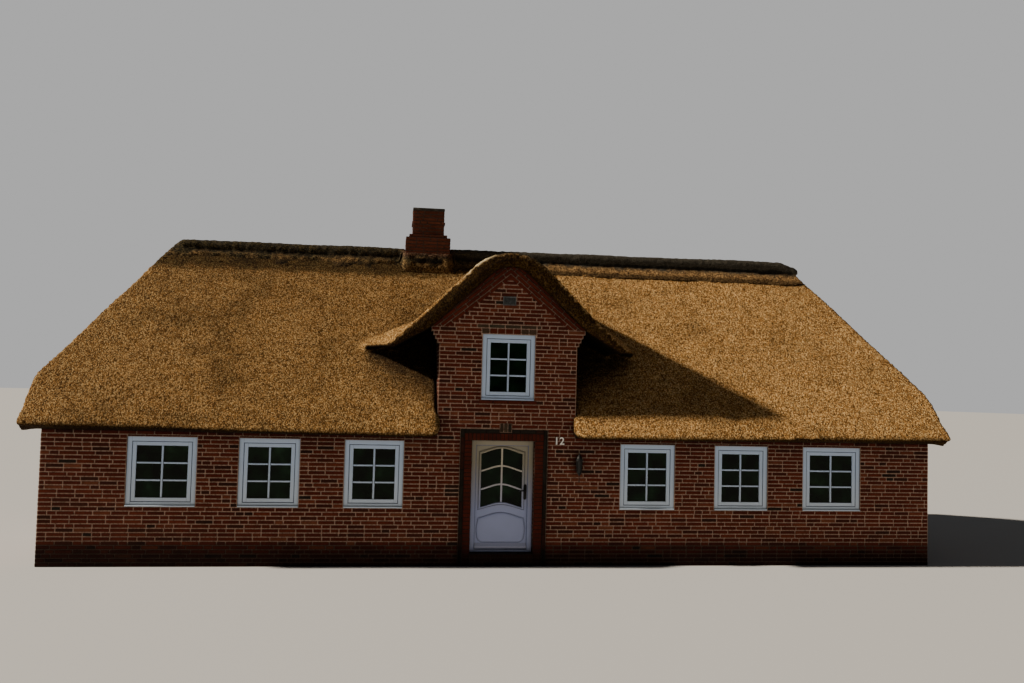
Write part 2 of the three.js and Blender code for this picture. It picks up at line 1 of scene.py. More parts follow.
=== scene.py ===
"""Thatched brick cottage: bricks, joinery, straw and ironwork built around the fixed frame."""

import math
import random

import bmesh
import bpy
from bpy.props import FloatProperty, FloatVectorProperty, PointerProperty, StringProperty
from mathutils import Matrix, Vector, noise


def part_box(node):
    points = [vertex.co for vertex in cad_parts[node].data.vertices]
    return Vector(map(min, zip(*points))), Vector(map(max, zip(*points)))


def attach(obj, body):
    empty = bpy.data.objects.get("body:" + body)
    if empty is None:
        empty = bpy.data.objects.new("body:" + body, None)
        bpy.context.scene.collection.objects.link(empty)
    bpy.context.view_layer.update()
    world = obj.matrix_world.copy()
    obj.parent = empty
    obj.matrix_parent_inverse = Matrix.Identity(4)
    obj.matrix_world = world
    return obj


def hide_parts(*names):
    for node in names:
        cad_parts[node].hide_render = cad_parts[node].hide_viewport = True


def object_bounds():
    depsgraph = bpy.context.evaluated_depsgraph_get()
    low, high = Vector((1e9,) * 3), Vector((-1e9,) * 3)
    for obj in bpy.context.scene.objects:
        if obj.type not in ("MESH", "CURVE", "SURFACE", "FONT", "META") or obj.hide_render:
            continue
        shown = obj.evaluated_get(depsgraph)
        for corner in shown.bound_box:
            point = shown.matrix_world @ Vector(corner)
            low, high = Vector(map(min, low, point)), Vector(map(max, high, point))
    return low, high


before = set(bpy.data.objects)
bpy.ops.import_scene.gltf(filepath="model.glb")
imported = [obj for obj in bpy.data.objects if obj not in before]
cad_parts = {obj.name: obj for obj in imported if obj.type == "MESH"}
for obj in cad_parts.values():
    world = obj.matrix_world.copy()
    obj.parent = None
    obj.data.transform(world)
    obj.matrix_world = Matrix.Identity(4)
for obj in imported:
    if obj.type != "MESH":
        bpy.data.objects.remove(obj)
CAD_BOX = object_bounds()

bl_info = {
    "name": "Thatched Cottage",
    "version": (1, 0, 0),
    "blender": (4, 5, 0),
    "location": "3D View > Sidebar > Cottage",
    "description": "Builds the brickwork, joinery, thatch and ironwork of a thatched cottage",
    "category": "Object",
}


def middle_x(name):
    low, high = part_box(name)
    return (low.x + high.x) / 2


# Places taken from the frame
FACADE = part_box("front_wall_left")[0].y
HOUSE_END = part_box("front_wall_right")[1].x
DORMER_X = middle_x("gable_wall")
STACK_X = middle_x("chimney_stack")
DOOR_LO, DOOR_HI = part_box("door_frame")
LEAF_LO, LEAF_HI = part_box("front_door")
WINDOWS = sorted(name.removesuffix("_frame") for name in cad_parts
                 if name.startswith("window_") and name.endswith("_frame"))

# Half the width of the gable under its corbels, and the width of the door's stiles
DORMER_HALF = 1.17
STILE = 0.107


def linear(code):
    """sRGB hex to the linear colour that nodes take."""
    channels = [int(code[i:i + 2], 16) / 255 for i in (1, 3, 5)]
    return [c / 12.92 if c <= 0.04045 else ((c + 0.055) / 1.055) ** 2.4 for c in channels] + [1.0]


def colour(name, text, code):
    return FloatVectorProperty(name=name, description=text, subtype="COLOR", size=4, min=0, max=1,
                               default=linear(code))


def length(name, text, value):
    return FloatProperty(name=name, description=text, subtype="DISTANCE", unit="LENGTH", default=value)


class BrickSettings(bpy.types.PropertyGroup):
    course: length("Course", "Height of one course with its joint", 0.0673)
    joint: length("Joint", "Width of a mortar joint", 0.015)
    stretcher: length("Stretcher", "Long face of a brick with its joint", 0.272)
    header: length("Header", "Short face of a brick with its joint", 0.139)
    proud: length("Proud", "How far a brick stands out of its joint", 0.008)
    red: colour("Red", "Well fired clay", "#532013")
    burnt: colour("Burnt", "Clay from the hot end of the kiln", "#231f1a")
    mortar: colour("Mortar", "Lime mortar", "#c9a48e")


class ThatchSettings(bpy.types.PropertyGroup):
    grain: length("Grain", "Spacing of the straw surface", 0.048)
    ridge_grain: length("Ridge grain", "Spacing of the ridge surface", 0.032)
    lump: length("Lump", "Height of the clumps of straw", 0.016)
    sway: length("Sway", "Slow waves of the whole slope", 0.02)
    straw: colour("Straw", "Weathered reed in the sun", "#cc9754")
    shade: colour("Shade", "Hollows between the clumps", "#543a20")
    moss: colour("Moss", "Moss and algae on old straw", "#6a695a")
    heather: colour("Heather", "Heather of the ridge", "#403c34")


class JoinerySettings(bpy.types.PropertyGroup):
    frame_face: length("Frame face", "Width of a window's fixed frame", 0.072)
    gap: length("Gap", "Open line between frame and sash", 0.010)
    sash_face: length("Sash face", "Width of a sash member", 0.058)
    bar: length("Bar", "Width of a glazing bar", 0.034)
    # The paint's blue-grey is painted shade on white gloss paint
    paint: colour("Paint", "White gloss paint", "#d4e3f6")
    iron: colour("Iron", "Black paint on iron", "#0d0e0f")
    numeral: StringProperty(name="Numeral", description="Plain house number", default="12")


class StageSettings(bpy.types.PropertyGroup):
    focal_pixels: FloatProperty(name="Focal length", description="In pixels of a frame 1024 wide",
                                default=897.1)
    yaw: FloatProperty(name="Yaw", description="Turn to the right", subtype="ANGLE", unit="ROTATION",
                       default=math.radians(7.7886))
    pitch: FloatProperty(name="Pitch", description="Tilt upwards", subtype="ANGLE", unit="ROTATION",
                         default=math.radians(2.6407))
    roll: FloatProperty(name="Roll", description="Lean of the camera", subtype="ANGLE", unit="ROTATION",
                        default=math.radians(1.4701))
    stand: FloatVectorProperty(name="Stand", description="Where the camera stands", subtype="TRANSLATION",
                               unit="LENGTH", size=3, default=(-2.135, -18.0, 3.058))
    floor: colour("Floor", "Plain pale floor", "#cdcecf")
    sky: colour("Surround", "Plain pale surround", "#e4e4e4")


# Helpers
def feed(tree, node, inputs):
    """Sets or links a node's inputs: a hex code is a colour, and a node gives its first live output."""
    for key, value in inputs.items():
        if isinstance(value, bpy.types.Node):
            value = next(socket for socket in value.outputs if socket.enabled)
        if isinstance(value, bpy.types.NodeSocket):
            tree.links.new(value, node.inputs[key])
        else:
            node.inputs[key].default_value = linear(value) if isinstance(value, str) else value


def add(tree, kind, inputs=(), stops=(), **settings):
    """One node with its settings, inputs and ramp.

    Inputs come by name, or as a tuple in the node's own order: a map range's is value, from, from, to, to.
    A mix of colours keeps its two colours in inputs 6 and 7.
    """
    node = tree.nodes.new("ShaderNode" + kind)
    for key, value in settings.items():
        setattr(node, key, value)
    feed(tree, node, inputs if isinstance(inputs, dict) else dict(enumerate(inputs)))
    if stops:
        elements = node.color_ramp.elements
        while len(elements) < len(stops):
            elements.new(1.0)
        for element, (place, shade) in zip(elements, stops):
            element.position = place
            element.color = linear(shade) if isinstance(shade, str) else shade
    return node


def material(name, **sockets):
    made = bpy.data.materials.new(name)
    made.use_nodes = True
    shader = made.node_tree.nodes["Principled BSDF"]
    feed(made.node_tree, shader, {key.replace("_", " "): value for key, value in sockets.items()})
    return made, made.node_tree, shader


def painted_occlusion_shade(tree, tint, reach, least):
    """Painted shade where a surface is tucked under or beside another, such as a wall below its eave: an
    occlusion node darkens the colour.
    """
    open_sky = add(tree, "AmbientOcclusion", {"Distance": reach}, samples=6).outputs["AO"]
    level = add(tree, "MapRange", (open_sky, 0.35, 0.95, least, 1.0))
    return add(tree, "VectorMath", {0: tint, "Scale": level}, operation="SCALE")


def link_mesh(name, bm):
    """Turns a bmesh into an object of the scene."""
    mesh = bpy.data.meshes.new(name)
    bm.to_mesh(mesh)
    bm.free()
    made = bpy.data.objects.new(name, mesh)
    bpy.context.scene.collection.objects.link(made)
    return made


def evaluated(draft):
    """A bmesh of what a draft object gives once its text or modifier is worked out; the draft goes."""
    bpy.context.view_layer.update()
    mesh = bpy.data.meshes.new_from_object(draft.evaluated_get(bpy.context.evaluated_depsgraph_get()))
    bpy.data.objects.remove(draft)
    bm = bmesh.new()
    bm.from_mesh(mesh)
    bpy.data.meshes.remove(mesh)
    return bm


def put(name, bm, kind, nodes=(), body="house", smooth=None):
    """Turns a bmesh into a piece that rides on a body."""
    bmesh.ops.recalc_face_normals(bm, faces=bm.faces)
    piece = link_mesh(name, bm)
    piece.data.materials.append(finish(kind))
    if smooth is not None:
        piece.data.shade_smooth()
        piece.data.set_sharp_from_angle(angle=math.radians(smooth))
    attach(piece, body)
    if nodes:
        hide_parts(*nodes)


def dress(kind, *names):
    """Gives solids of the frame that stay visible their finish."""
    for name in names:
        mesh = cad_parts[name].data
        mesh.materials.clear()
        mesh.materials.append(finish(kind))


def block(bm, low, high, draw_in=0.0, place=Matrix()):
    """A closed block; its front, towards -Y, is drawn in on all four sides."""
    low, high = Vector(low), Vector(high)
    middle, size = (low + high) / 2, high - low
    verts = bmesh.ops.create_cube(bm, size=1.0)["verts"]
    for vert in verts:
        x, y, z = vert.co
        trim = draw_in if y < 0 else 0.0
        vert.co = place @ Vector((middle.x + x * (size.x - 2 * trim), middle.y + y * size.y,
                                  middle.z + z * (size.z - 2 * trim)))
    return verts


def soften(bm, offset, segments):
    """Rounds every edge."""
    bmesh.ops.bevel(bm, geom=bm.edges[:], offset=offset, offset_type="OFFSET", segments=segments,
                    profile=0.5, affect="EDGES", clamp_overlap=True, material=-1)


def plate(bm, points, depth):
    """A closed plate: an outline of points, pushed along depth."""
    face = bm.faces.new([bm.verts.new(p) for p in points])
    pushed = bmesh.ops.extrude_face_region(bm, geom=[face])["geom"]
    bmesh.ops.translate(bm, vec=depth, verts=[g for g in pushed if isinstance(g, bmesh.types.BMVert)])


def loop(bm, points):
    """The edges of one closed ring of points."""
    verts = [bm.verts.new(p) for p in points]
    return [bm.edges.new((a, b)) for a, b in zip(verts, verts[1:] + verts[:1])]


def tube(bm, path, radius, segments):
    """A round bar along a path, closed at both ends; radius may be one for each point."""
    path = [Vector(p) for p in path]
    last = len(path) - 1
    radii = radius if isinstance(radius, (list, tuple)) else [radius] * len(path)
    before = None
    for i, point in enumerate(path):
        ahead = path[min(i + 1, last)] - path[max(i - 1, 0)]
        turn = ahead.to_track_quat("Z", "Y").to_matrix().to_4x4()
        ring = bmesh.ops.create_circle(bm, cap_ends=i in (0, last), radius=radii[i], segments=segments,
                                       matrix=Matrix.Translation(point) @ turn)["verts"]
        held = set(ring)
        edges = list({e for v in ring for e in v.link_edges if e.other_vert(v) in held})
        if before:
            bmesh.ops.bridge_loops(bm, edges=before + edges)
        before = edges


def wall_place(side):
    """From a wall's own axes (x along, -y out, z up) to the house."""
    turn = {"front": 0, "right": 90, "back": 180, "left": -90}[side]
    out = -FACADE if side in ("front", "back") else HOUSE_END
    return Matrix.Rotation(math.radians(turn), 4, "Z") @ Matrix.Translation((0, -out, 0))


def spans_left(span, holes):
    """What is left of a stretch once the holes are taken out of it."""
    spans = [span]
    for low, high in holes:
        parts = [part for a, b in spans for part in ((a, min(b, low)), (max(a, high), b))]
        spans = [(a, b) for a, b in parts if b - a > 0.03]
    return spans


class Bricklayer:
    """Lays single bricks into one mesh, each with its own tone."""

    def __init__(self, seed):
        self.bm = bmesh.new()
        self.tones = self.bm.loops.layers.float_color.new("tone")
        self.rng = random.Random(seed)
        self.size = bpy.context.scene.cottage_brick

    def brick(self, place, x0, x1, z0, z1, proud=0.0, tone=None, bed=0.012, lichen=0.0, joint=None):
        size, rng = self.size, self.rng
        half = (size.joint if joint is None else joint) / 2
        face = -(size.proud + proud + rng.uniform(-0.0015, 0.0015))
        verts = block(self.bm, (x0 + half, face, z0 + half), (x1 - half, bed, z1 - half), 0.0035, place)
        value = rng.random() if tone is None else tone + rng.uniform(-0.03, 0.03)
        shade = (value, rng.random(), lichen, 1.0)
        for one in {f for v in verts for f in v.link_faces}:
            for corner in one.loops:
                corner[self.tones] = shade

    def course(self, place, z, span, holes=(), proud=0.0, tone=None, lichen=0.0):
        """One course of wild bond between the openings: about three headers to seven stretchers."""
        size, rng, headers, shortest = self.size, self.rng, 0.3, 0.06
        for start, end in spans_left(span, holes):
            x = start
            first = rng.choice((size.header, size.stretcher * 0.75, size.stretcher, size.header * 0.6))
            while x < end - 0.02:
                step = first or (size.header if rng.random() < headers else size.stretcher)
                first = None
                stop = x + step
                if end - stop < shortest:
                    stop = end
                self.brick(place, x, stop, z, z + size.course, proud, tone, lichen=lichen)
                x = stop

    def done(self, name):
        put(name, self.bm, "clay")


# Materials
def fired_clay():
    """Hand-moulded clay brick: matt, each brick its own red, some burnt nearly black."""
    brick = bpy.context.scene.cottage_brick
    made, tree, shader = material("fired_clay_brick", Roughness=0.88, Specular_IOR_Level=0.15)
    tone = add(tree, "Attribute", attribute_name="tone")
    parts = add(tree, "SeparateColor", {"Color": tone.outputs["Color"]})
    red = add(tree, "ValToRGB", {"Fac": parts.outputs["Red"]}, stops=[
        (0.0, brick.burnt[:]), (0.012, "#2a1b15"), (0.04, "#3a1c13"), (0.12, "#481f14"), (0.3, brick.red[:]),
        (0.7, "#5d2617"), (0.92, "#672e1d"), (1.0, "#713f2b")])
    lichen = add(tree, "Mix", {"Factor": parts.outputs["Blue"], 6: red, 7: "#66624f"}, data_type="RGBA")
    place = add(tree, "TexCoord").outputs["Object"]
    axes = add(tree, "SeparateXYZ", {"Vector": place}).outputs
    fine = add(tree, "TexNoise", {"Vector": place, "Scale": 45.0, "Detail": 6.0, "Roughness": 0.7})
    patch = add(tree, "TexNoise", {"Vector": place, "Scale": 5.0, "Detail": 4.0})
    spread = add(tree, "MapRange", (fine, 0.3, 0.7, 0.7, 1.3))
    patchy = add(tree, "MapRange", (patch, 0.3, 0.7, 0.78, 1.18))
    # Damp rises from the ground into the plinth
    damp = add(tree, "MapRange", (axes["Z"], 0.18, 0.40, 0.35, 1.0))
    both = add(tree, "Math", (spread, patchy), operation="MULTIPLY")
    whole = add(tree, "Math", (both, damp), operation="MULTIPLY")
    shaded = add(tree, "VectorMath", {0: lichen, "Scale": whole}, operation="SCALE")
    bump = add(tree, "Bump", {"Height": fine, "Strength": 0.6, "Distance": 0.004})
    # Painted shade darkens the bricks under the eaves and beside other parts
    feed(tree, shader, {"Base Color": painted_occlusion_shade(tree, shaded, 0.8, 0.10), "Normal": bump})
    return made


def lime_mortar():
    """Lime mortar outside, dark with damp near the ground, and plain plaster on the room side."""
    brick = bpy.context.scene.cottage_brick
    made, tree, shader = material("lime_mortar_and_plaster", Roughness=0.95, Specular_IOR_Level=0.15)
    place = add(tree, "TexCoord").outputs["Object"]
    axes = add(tree, "SeparateXYZ", {"Vector": place}).outputs
    grit = add(tree, "TexNoise", {"Vector": place, "Scale": 30.0, "Detail": 5.0})
    sand = add(tree, "ValToRGB", {"Fac": grit}, stops=[
        (0.3, "#8a6a58"), (0.52, brick.mortar[:]), (0.72, "#dcbfa9")])
    damp = add(tree, "MapRange", (axes["Z"], 0.34, 0.42, 0.8, 0.0))
    outer = add(tree, "Mix", {"Factor": damp, 6: sand, 7: "#2f2825"}, data_type="RGBA")
    # Plaster is what lies within the inner faces of the walls
    deep = add(tree, "Math", (axes["Y"],), operation="ABSOLUTE")
    wide = add(tree, "Math", (axes["X"],), operation="ABSOLUTE")
    near = add(tree, "Math", (deep, 2.72), operation="LESS_THAN")
    within = add(tree, "Math", (wide, 7.22), operation="LESS_THAN")
    room = add(tree, "Math", (near, within), operation="MULTIPLY")
    whole = add(tree, "Mix", {"Factor": room, 6: outer, 7: "#d8d3c8"}, data_type="RGBA")
    bump = add(tree, "Bump", {"Height": grit, "Strength": 0.5, "Distance": 0.003})
    # Painted shade darkens the joints under the eaves and beside other parts
    feed(tree, shader, {"Base Color": painted_occlusion_shade(tree, whole, 0.8, 0.10), "Normal": bump})
    return made


def combed_reed():
    """Combed reed thatch: thousands of cut straw ends, so it is matt, speckled and deeply rough."""
    thatch = bpy.context.scene.cottage_thatch
    made, tree, shader = material("combed_reed_thatch", Roughness=0.95, Specular_IOR_Level=0.1)
    place = add(tree, "TexCoord").outputs["Object"]
    axes = add(tree, "SeparateXYZ", {"Vector": place}).outputs
    # Tufts of cut ends, 2 cm across because single stalks are too fine to show, each with its own tone
    combed = add(tree, "Mapping", {"Vector": place, "Scale": (1.2, 0.8, 0.8)})
    tufts = add(tree, "TexVoronoi", {"Vector": combed, "Scale": 54.0})
    own = add(tree, "SeparateColor", {"Color": tufts.outputs["Color"]}).outputs["Red"]
    ends = add(tree, "TexNoise", {"Vector": combed, "Scale": 90.0, "Detail": 3.0, "Roughness": 0.75})
    mixed = add(tree, "Math", (own, 0.45, ends), operation="MULTIPLY_ADD")
    straw = add(tree, "ValToRGB", {"Fac": mixed}, stops=[
        (0.44, thatch.shade[:]), (0.60, "#8d6434"), (0.76, thatch.straw[:]), (0.92, "#f5cf93")])
    # Painted shade: each tuft darkens towards its edge, as in the hollows between tufts
    hollow_shade = add(tree, "MapRange", (tufts, 0.25, 0.75, 1.15, 0.45))
    pitted_shade = add(tree, "VectorMath", {0: straw, "Scale": hollow_shade}, operation="SCALE")
    # Bundles of straw a hand wide differ a little
    laid = add(tree, "Mapping", {"Vector": place, "Scale": (0.7, 1.5, 1.5)})
    bundles = add(tree, "TexNoise", {"Vector": laid, "Scale": 5.0, "Detail": 4.0, "Roughness": 0.65})
    varied = add(tree, "MapRange", (bundles, 0.32, 0.68, 0.80, 1.18))
    toned = add(tree, "VectorMath", {0: pitted_shade, "Scale": varied}, operation="SCALE")
    age = add(tree, "TexNoise", {"Vector": place, "Scale": 0.9, "Detail": 5.0, "Roughness": 0.6})
    worn = add(tree, "MapRange", (age, 0.5, 0.75, 0.0, 0.45))
    # The left half is darker, more so higher up, and worn patches turn mossy
    left = add(tree, "MapRange", (axes["X"], 0.5, -3.0, 0.0, 0.48))
    above = add(tree, "MapRange", (axes["Z"], 4.4, 5.3, 1.0, 1.25))
    darker_left_and_worn = add(tree, "Math", (left, above, worn), operation="MULTIPLY_ADD", use_clamp=True)
    darkened_and_worn = add(tree, "Mix", {"Factor": darker_left_and_worn, 6: toned, 7: thatch.moss[:]}, data_type="RGBA",
               blend_type="MULTIPLY")
    # Moss creeps down from the left part of the ridge
    edge = add(tree, "Math", (bundles, 0.5, axes["Z"]), operation="MULTIPLY_ADD")
    creep = add(tree, "MapRange", (edge, 5.28, 5.40, 0.0, 0.8))
    side = add(tree, "MapRange", (axes["X"], -0.2, -1.2))
    moss = add(tree, "Math", (creep, side), operation="MULTIPLY")
    mossy = add(tree, "Mix", {"Factor": moss, 6: darkened_and_worn, 7: "#6b6f58"}, data_type="RGBA", blend_type="MULTIPLY")
    # Painted highlight on the left of the dormer crown's rim, where the sun falls, and painted shade at the
    # top and on its right
    rim = add(tree, "MapRange", (axes["Y"], -2.93, -3.02))
    high = add(tree, "MapRange", (axes["Z"], 4.75, 4.95))
    crown = add(tree, "Math", (rim, high), operation="MULTIPLY")
    sunward_side = add(tree, "MapRange", (axes["X"], -0.50, -0.34))
    tint = add(tree, "Mix", {"Factor": sunward_side, 6: "#cfc09c", 7: "#2e2c22"}, data_type="RGBA")
    part = add(tree, "Math", (crown, 0.75), operation="MULTIPLY")
    rim_highlight_and_shade = add(tree, "Mix", {"Factor": part, 6: mossy, 7: tint}, data_type="RGBA")
    # Where the straw is cut across, at the dormer's front and under the eaves, it is darkened: partly the cut
    # ends' own colour, partly painted shade
    across = add(tree, "Attribute", attribute_name="cut")
    sound = add(tree, "Mix", {"Factor": across.outputs["Fac"], 6: rim_highlight_and_shade, 7: mossy}, data_type="RGBA")
    cut = add(tree, "Mix", {"Factor": across.outputs["Fac"], 6: sound, 7: "#615a44"}, data_type="RGBA",
              blend_type="MULTIPLY")
    rise = add(tree, "Math", (ends, tufts), operation="SUBTRACT")
    bump = add(tree, "Bump", {"Height": rise, "Strength": 0.8, "Distance": 0.02})
    # Painted shade darkens the straw under and beside the dormer and the eaves
    feed(tree, shader, {"Base Color": painted_occlusion_shade(tree, cut, 1.7, 0.08), "Normal": bump})
    return made


def heather():
    """Heather ridge: a dark knotty roll on a skirt that fades into the straw, moss round the chimney."""
    thatch = bpy.context.scene.cottage_thatch
    made, tree, shader = material("heather_and_moss", Roughness=0.96, Specular_IOR_Level=0.1)
    place = add(tree, "TexCoord").outputs["Object"]
    axes = add(tree, "SeparateXYZ", {"Vector": place}).outputs
    twigs = add(tree, "TexNoise", {"Vector": place, "Scale": 75.0, "Detail": 4.0, "Roughness": 0.75})
    stalks = add(tree, "TexNoise", {"Vector": place, "Scale": 42.0, "Detail": 4.0, "Roughness": 0.8})
    patch = add(tree, "TexNoise", {"Vector": place, "Scale": 4.0, "Detail": 5.0, "Roughness": 0.65})
    roll = add(tree, "ValToRGB", {"Fac": twigs}, stops=[
        (0.35, "#12110f"), (0.5, thatch.heather[:]), (0.66, "#6c675a")])
    tufts = add(tree, "TexVoronoi", {"Vector": place, "Scale": 50.0})
    own = add(tree, "SeparateColor", {"Color": tufts.outputs["Color"]}).outputs["Red"]
    mixed = add(tree, "Math", (own, 0.4, twigs), operation="MULTIPLY_ADD")
    skirt = add(tree, "ValToRGB", {"Fac": mixed}, stops=[
        (0.46, "#2b2014"), (0.62, "#6e5233"), (0.76, "#9a7649"), (0.92, "#cfaa74")])
    # The roll begins over the skirt, at an uneven height
    level = add(tree, "Math", (patch, 0.30, axes["Z"]), operation="MULTIPLY_ADD")
    high = add(tree, "MapRange", (level, 5.53, 5.66))
    both = add(tree, "Mix", {"Factor": high, 6: skirt, 7: roll}, data_type="RGBA")
    # Moss on the older left part
    left = add(tree, "MapRange", (axes["X"], 0.3, -1.2))
    mossy = add(tree, "MapRange", (patch, 0.40, 0.58, 0.35, 0.95))
    green = add(tree, "Math", (left, mossy), operation="MULTIPLY")
    moss = add(tree, "ValToRGB", {"Fac": mixed}, stops=[
        (0.46, "#0f0e09"), (0.64, "#2e291a"), (0.78, "#4c4129"), (0.92, "#776744")])
    grown = add(tree, "Mix", {"Factor": green, 6: both, 7: moss}, data_type="RGBA")
    # Brick dust and crumbled mortar where the bank meets the chimney
    beside = add(tree, "Math", (axes["X"], STACK_X), operation="SUBTRACT")
    apart = add(tree, "Math", (beside,), operation="ABSOLUTE")
    near = add(tree, "MapRange", (apart, 0.55, 0.42))
    top = add(tree, "MapRange", (level, 5.62, 5.70, 0.0, 0.75))
    dusty = add(tree, "Math", (near, top), operation="MULTIPLY")
    dust = add(tree, "ValToRGB", {"Fac": mixed}, stops=[
        (0.46, "#24130d"), (0.66, "#5c3d2f"), (0.9, "#94705a")])
    whole = add(tree, "Mix", {"Factor": dusty, 6: grown, 7: dust}, data_type="RGBA")
    # Painted shade in the hollows, along the hem, and in the crevice under the chimney's foot
    hollow_shade = add(tree, "Attribute", attribute_name="hollow_shade")
    light = add(tree, "MapRange", (hollow_shade.outputs["Fac"], 0.0, 1.0, 1.0, 0.3))
    rise = add(tree, "Math", (stalks, 0.12, axes["Z"]), operation="MULTIPLY_ADD")
    low = add(tree, "MapRange", (rise, 5.445, 5.370))
    beyond = add(tree, "MapRange", (apart, 0.40, 0.60, 0.0, -0.72))
    hem = add(tree, "Math", (low, beyond, 1.0), operation="MULTIPLY_ADD")
    off = add(tree, "Math", (rise, 5.475), operation="SUBTRACT")
    away = add(tree, "Math", (off,), operation="ABSOLUTE")
    in_height = add(tree, "MapRange", (away, 0.065, 0.040))
    in_width = add(tree, "MapRange", (apart, 0.34, 0.24))
    crevice_shade = add(tree, "Math", (in_height, in_width), operation="MULTIPLY")
    damp = add(tree, "MapRange", (crevice_shade, 0.0, 1.0, 1.0, 0.10))
    dirt = add(tree, "Math", (light, damp), operation="MULTIPLY")
    hollow_hem_crevice_shade = add(tree, "Math", (dirt, hem), operation="MULTIPLY")
    # The left part is a quarter darker
    age = add(tree, "MapRange", (left, 0.0, 1.0, 1.0, 0.75))
    final = add(tree, "Math", (hollow_hem_crevice_shade, age), operation="MULTIPLY")
    shaded = add(tree, "VectorMath", {0: whole, "Scale": final}, operation="SCALE")
    bump = add(tree, "Bump", {"Height": twigs, "Strength": 0.8, "Distance": 0.02})
    feed(tree, shader, {"Base Color": shaded, "Normal": bump})
    return made


def gloss_paint(name="white_gloss_paint_in_painted_shade", low=None, top="#c8deff"):
    """White gloss paint on softwood: smooth with faint brush marks, its white greyed and blued as painted
    shade; a door's top may be creamier.
    """
    made, tree, shader = material(name, Roughness=0.38)
    place = add(tree, "TexCoord").outputs["Object"]
    axes = add(tree, "SeparateXYZ", {"Vector": place}).outputs
    upper = add(tree, "MapRange", (axes["Z"], 0.9, 1.7))
    tint = add(tree, "Mix", {"Factor": upper, 6: low or bpy.context.scene.cottage_joinery.paint[:], 7: top},
               data_type="RGBA")
    dirt = add(tree, "TexNoise", {"Vector": place, "Scale": 4.0, "Detail": 5.0})
    grime = add(tree, "MapRange", (dirt, 0.3, 0.6, 0.95, 1.0))
    shaded = add(tree, "VectorMath", {0: tint, "Scale": grime}, operation="SCALE")
    brush = add(tree, "TexNoise", {"Vector": place, "Scale": 90.0, "Detail": 2.0})
    bump = add(tree, "Bump", {"Height": brush, "Strength": 0.08, "Distance": 0.002})
    # Painted shade darkens the paint in its corners and against the wall
    feed(tree, shader, {"Base Color": painted_occlusion_shade(tree, shaded, 0.04, 0.45), "Normal": bump})
    return made


def float_glass():
    """Window glass over a dark room: nearly black, with a sharp reflection and faint waves."""
    made, tree, shader = material("float_glass", Roughness=0.04, Specular_IOR_Level=0.1)
    place = add(tree, "TexCoord").outputs["Object"]
    depth = add(tree, "TexNoise", {"Vector": place, "Scale": 3.0, "Detail": 3.0})
    tint = add(tree, "ValToRGB", {"Fac": depth}, stops=[
        (0.35, "#020603"), (0.6, "#0b1f0f"), (0.75, "#1c3522")])
    wave = add(tree, "TexNoise", {"Vector": place, "Scale": 2.5})
    bump = add(tree, "Bump", {"Height": wave, "Strength": 0.1, "Distance": 0.01})
    feed(tree, shader, {"Base Color": tint, "Normal": bump})
    return made


def black_iron():
    """Wrought iron under black paint: low sheen, slightly pitted."""
    made, tree, shader = material("black_painted_iron", Roughness=0.42, Specular_IOR_Level=0.25,
                                  Base_Color=bpy.context.scene.cottage_joinery.iron[:])
    place = add(tree, "TexCoord").outputs["Object"]
    pits = add(tree, "TexNoise", {"Vector": place, "Scale": 120.0, "Detail": 3.0})
    rough = add(tree, "MapRange", (pits, 0.0, 1.0, 0.3, 0.6))
    bump = add(tree, "Bump", {"Height": pits, "Strength": 0.3, "Distance": 0.002})
    feed(tree, shader, {"Roughness": rough, "Normal": bump})
    return made


def mottled(name, dark, light, scale, roughness):
    """Plain weathered stuff with a soft mottle, such as concrete, boards, zinc or cement."""
    made, tree, shader = material(name, Roughness=roughness, Specular_IOR_Level=0.3)
    place = add(tree, "TexCoord").outputs["Object"]
    spots = add(tree, "TexNoise", {"Vector": place, "Scale": scale, "Detail": 6.0, "Roughness": 0.65})
    tint = add(tree, "ValToRGB", {"Fac": spots}, stops=[(0.35, dark), (0.65, light)])
    bump = add(tree, "Bump", {"Height": spots, "Strength": 0.4, "Distance": 0.003})
    feed(tree, shader, {"Base Color": tint, "Normal": bump})
    return made


def floorboards():
    """Pine boards 140 mm wide: grain along the house, dark lines between the boards."""
    made, tree, shader = material("pine_floorboards", Roughness=0.5)
    place = add(tree, "TexCoord").outputs["Object"]
    run = add(tree, "Mapping", {"Vector": place, "Scale": (0.6, 7.14, 1.0)})
    grain = add(tree, "TexNoise", {"Vector": run, "Scale": 4.0, "Detail": 6.0})
    axes = add(tree, "SeparateXYZ", {"Vector": run}).outputs
    edge = add(tree, "Math", (axes["Y"],), operation="FRACT")
    line = add(tree, "Math", (edge, 0.04), operation="GREATER_THAN")
    tint = add(tree, "ValToRGB", {"Fac": grain}, stops=[(0.3, "#7a5733"), (0.7, "#b08a5c")])
    boards = add(tree, "VectorMath", {0: tint, "Scale": line}, operation="SCALE")
    feed(tree, shader, {"Base Color": boards})
    return made


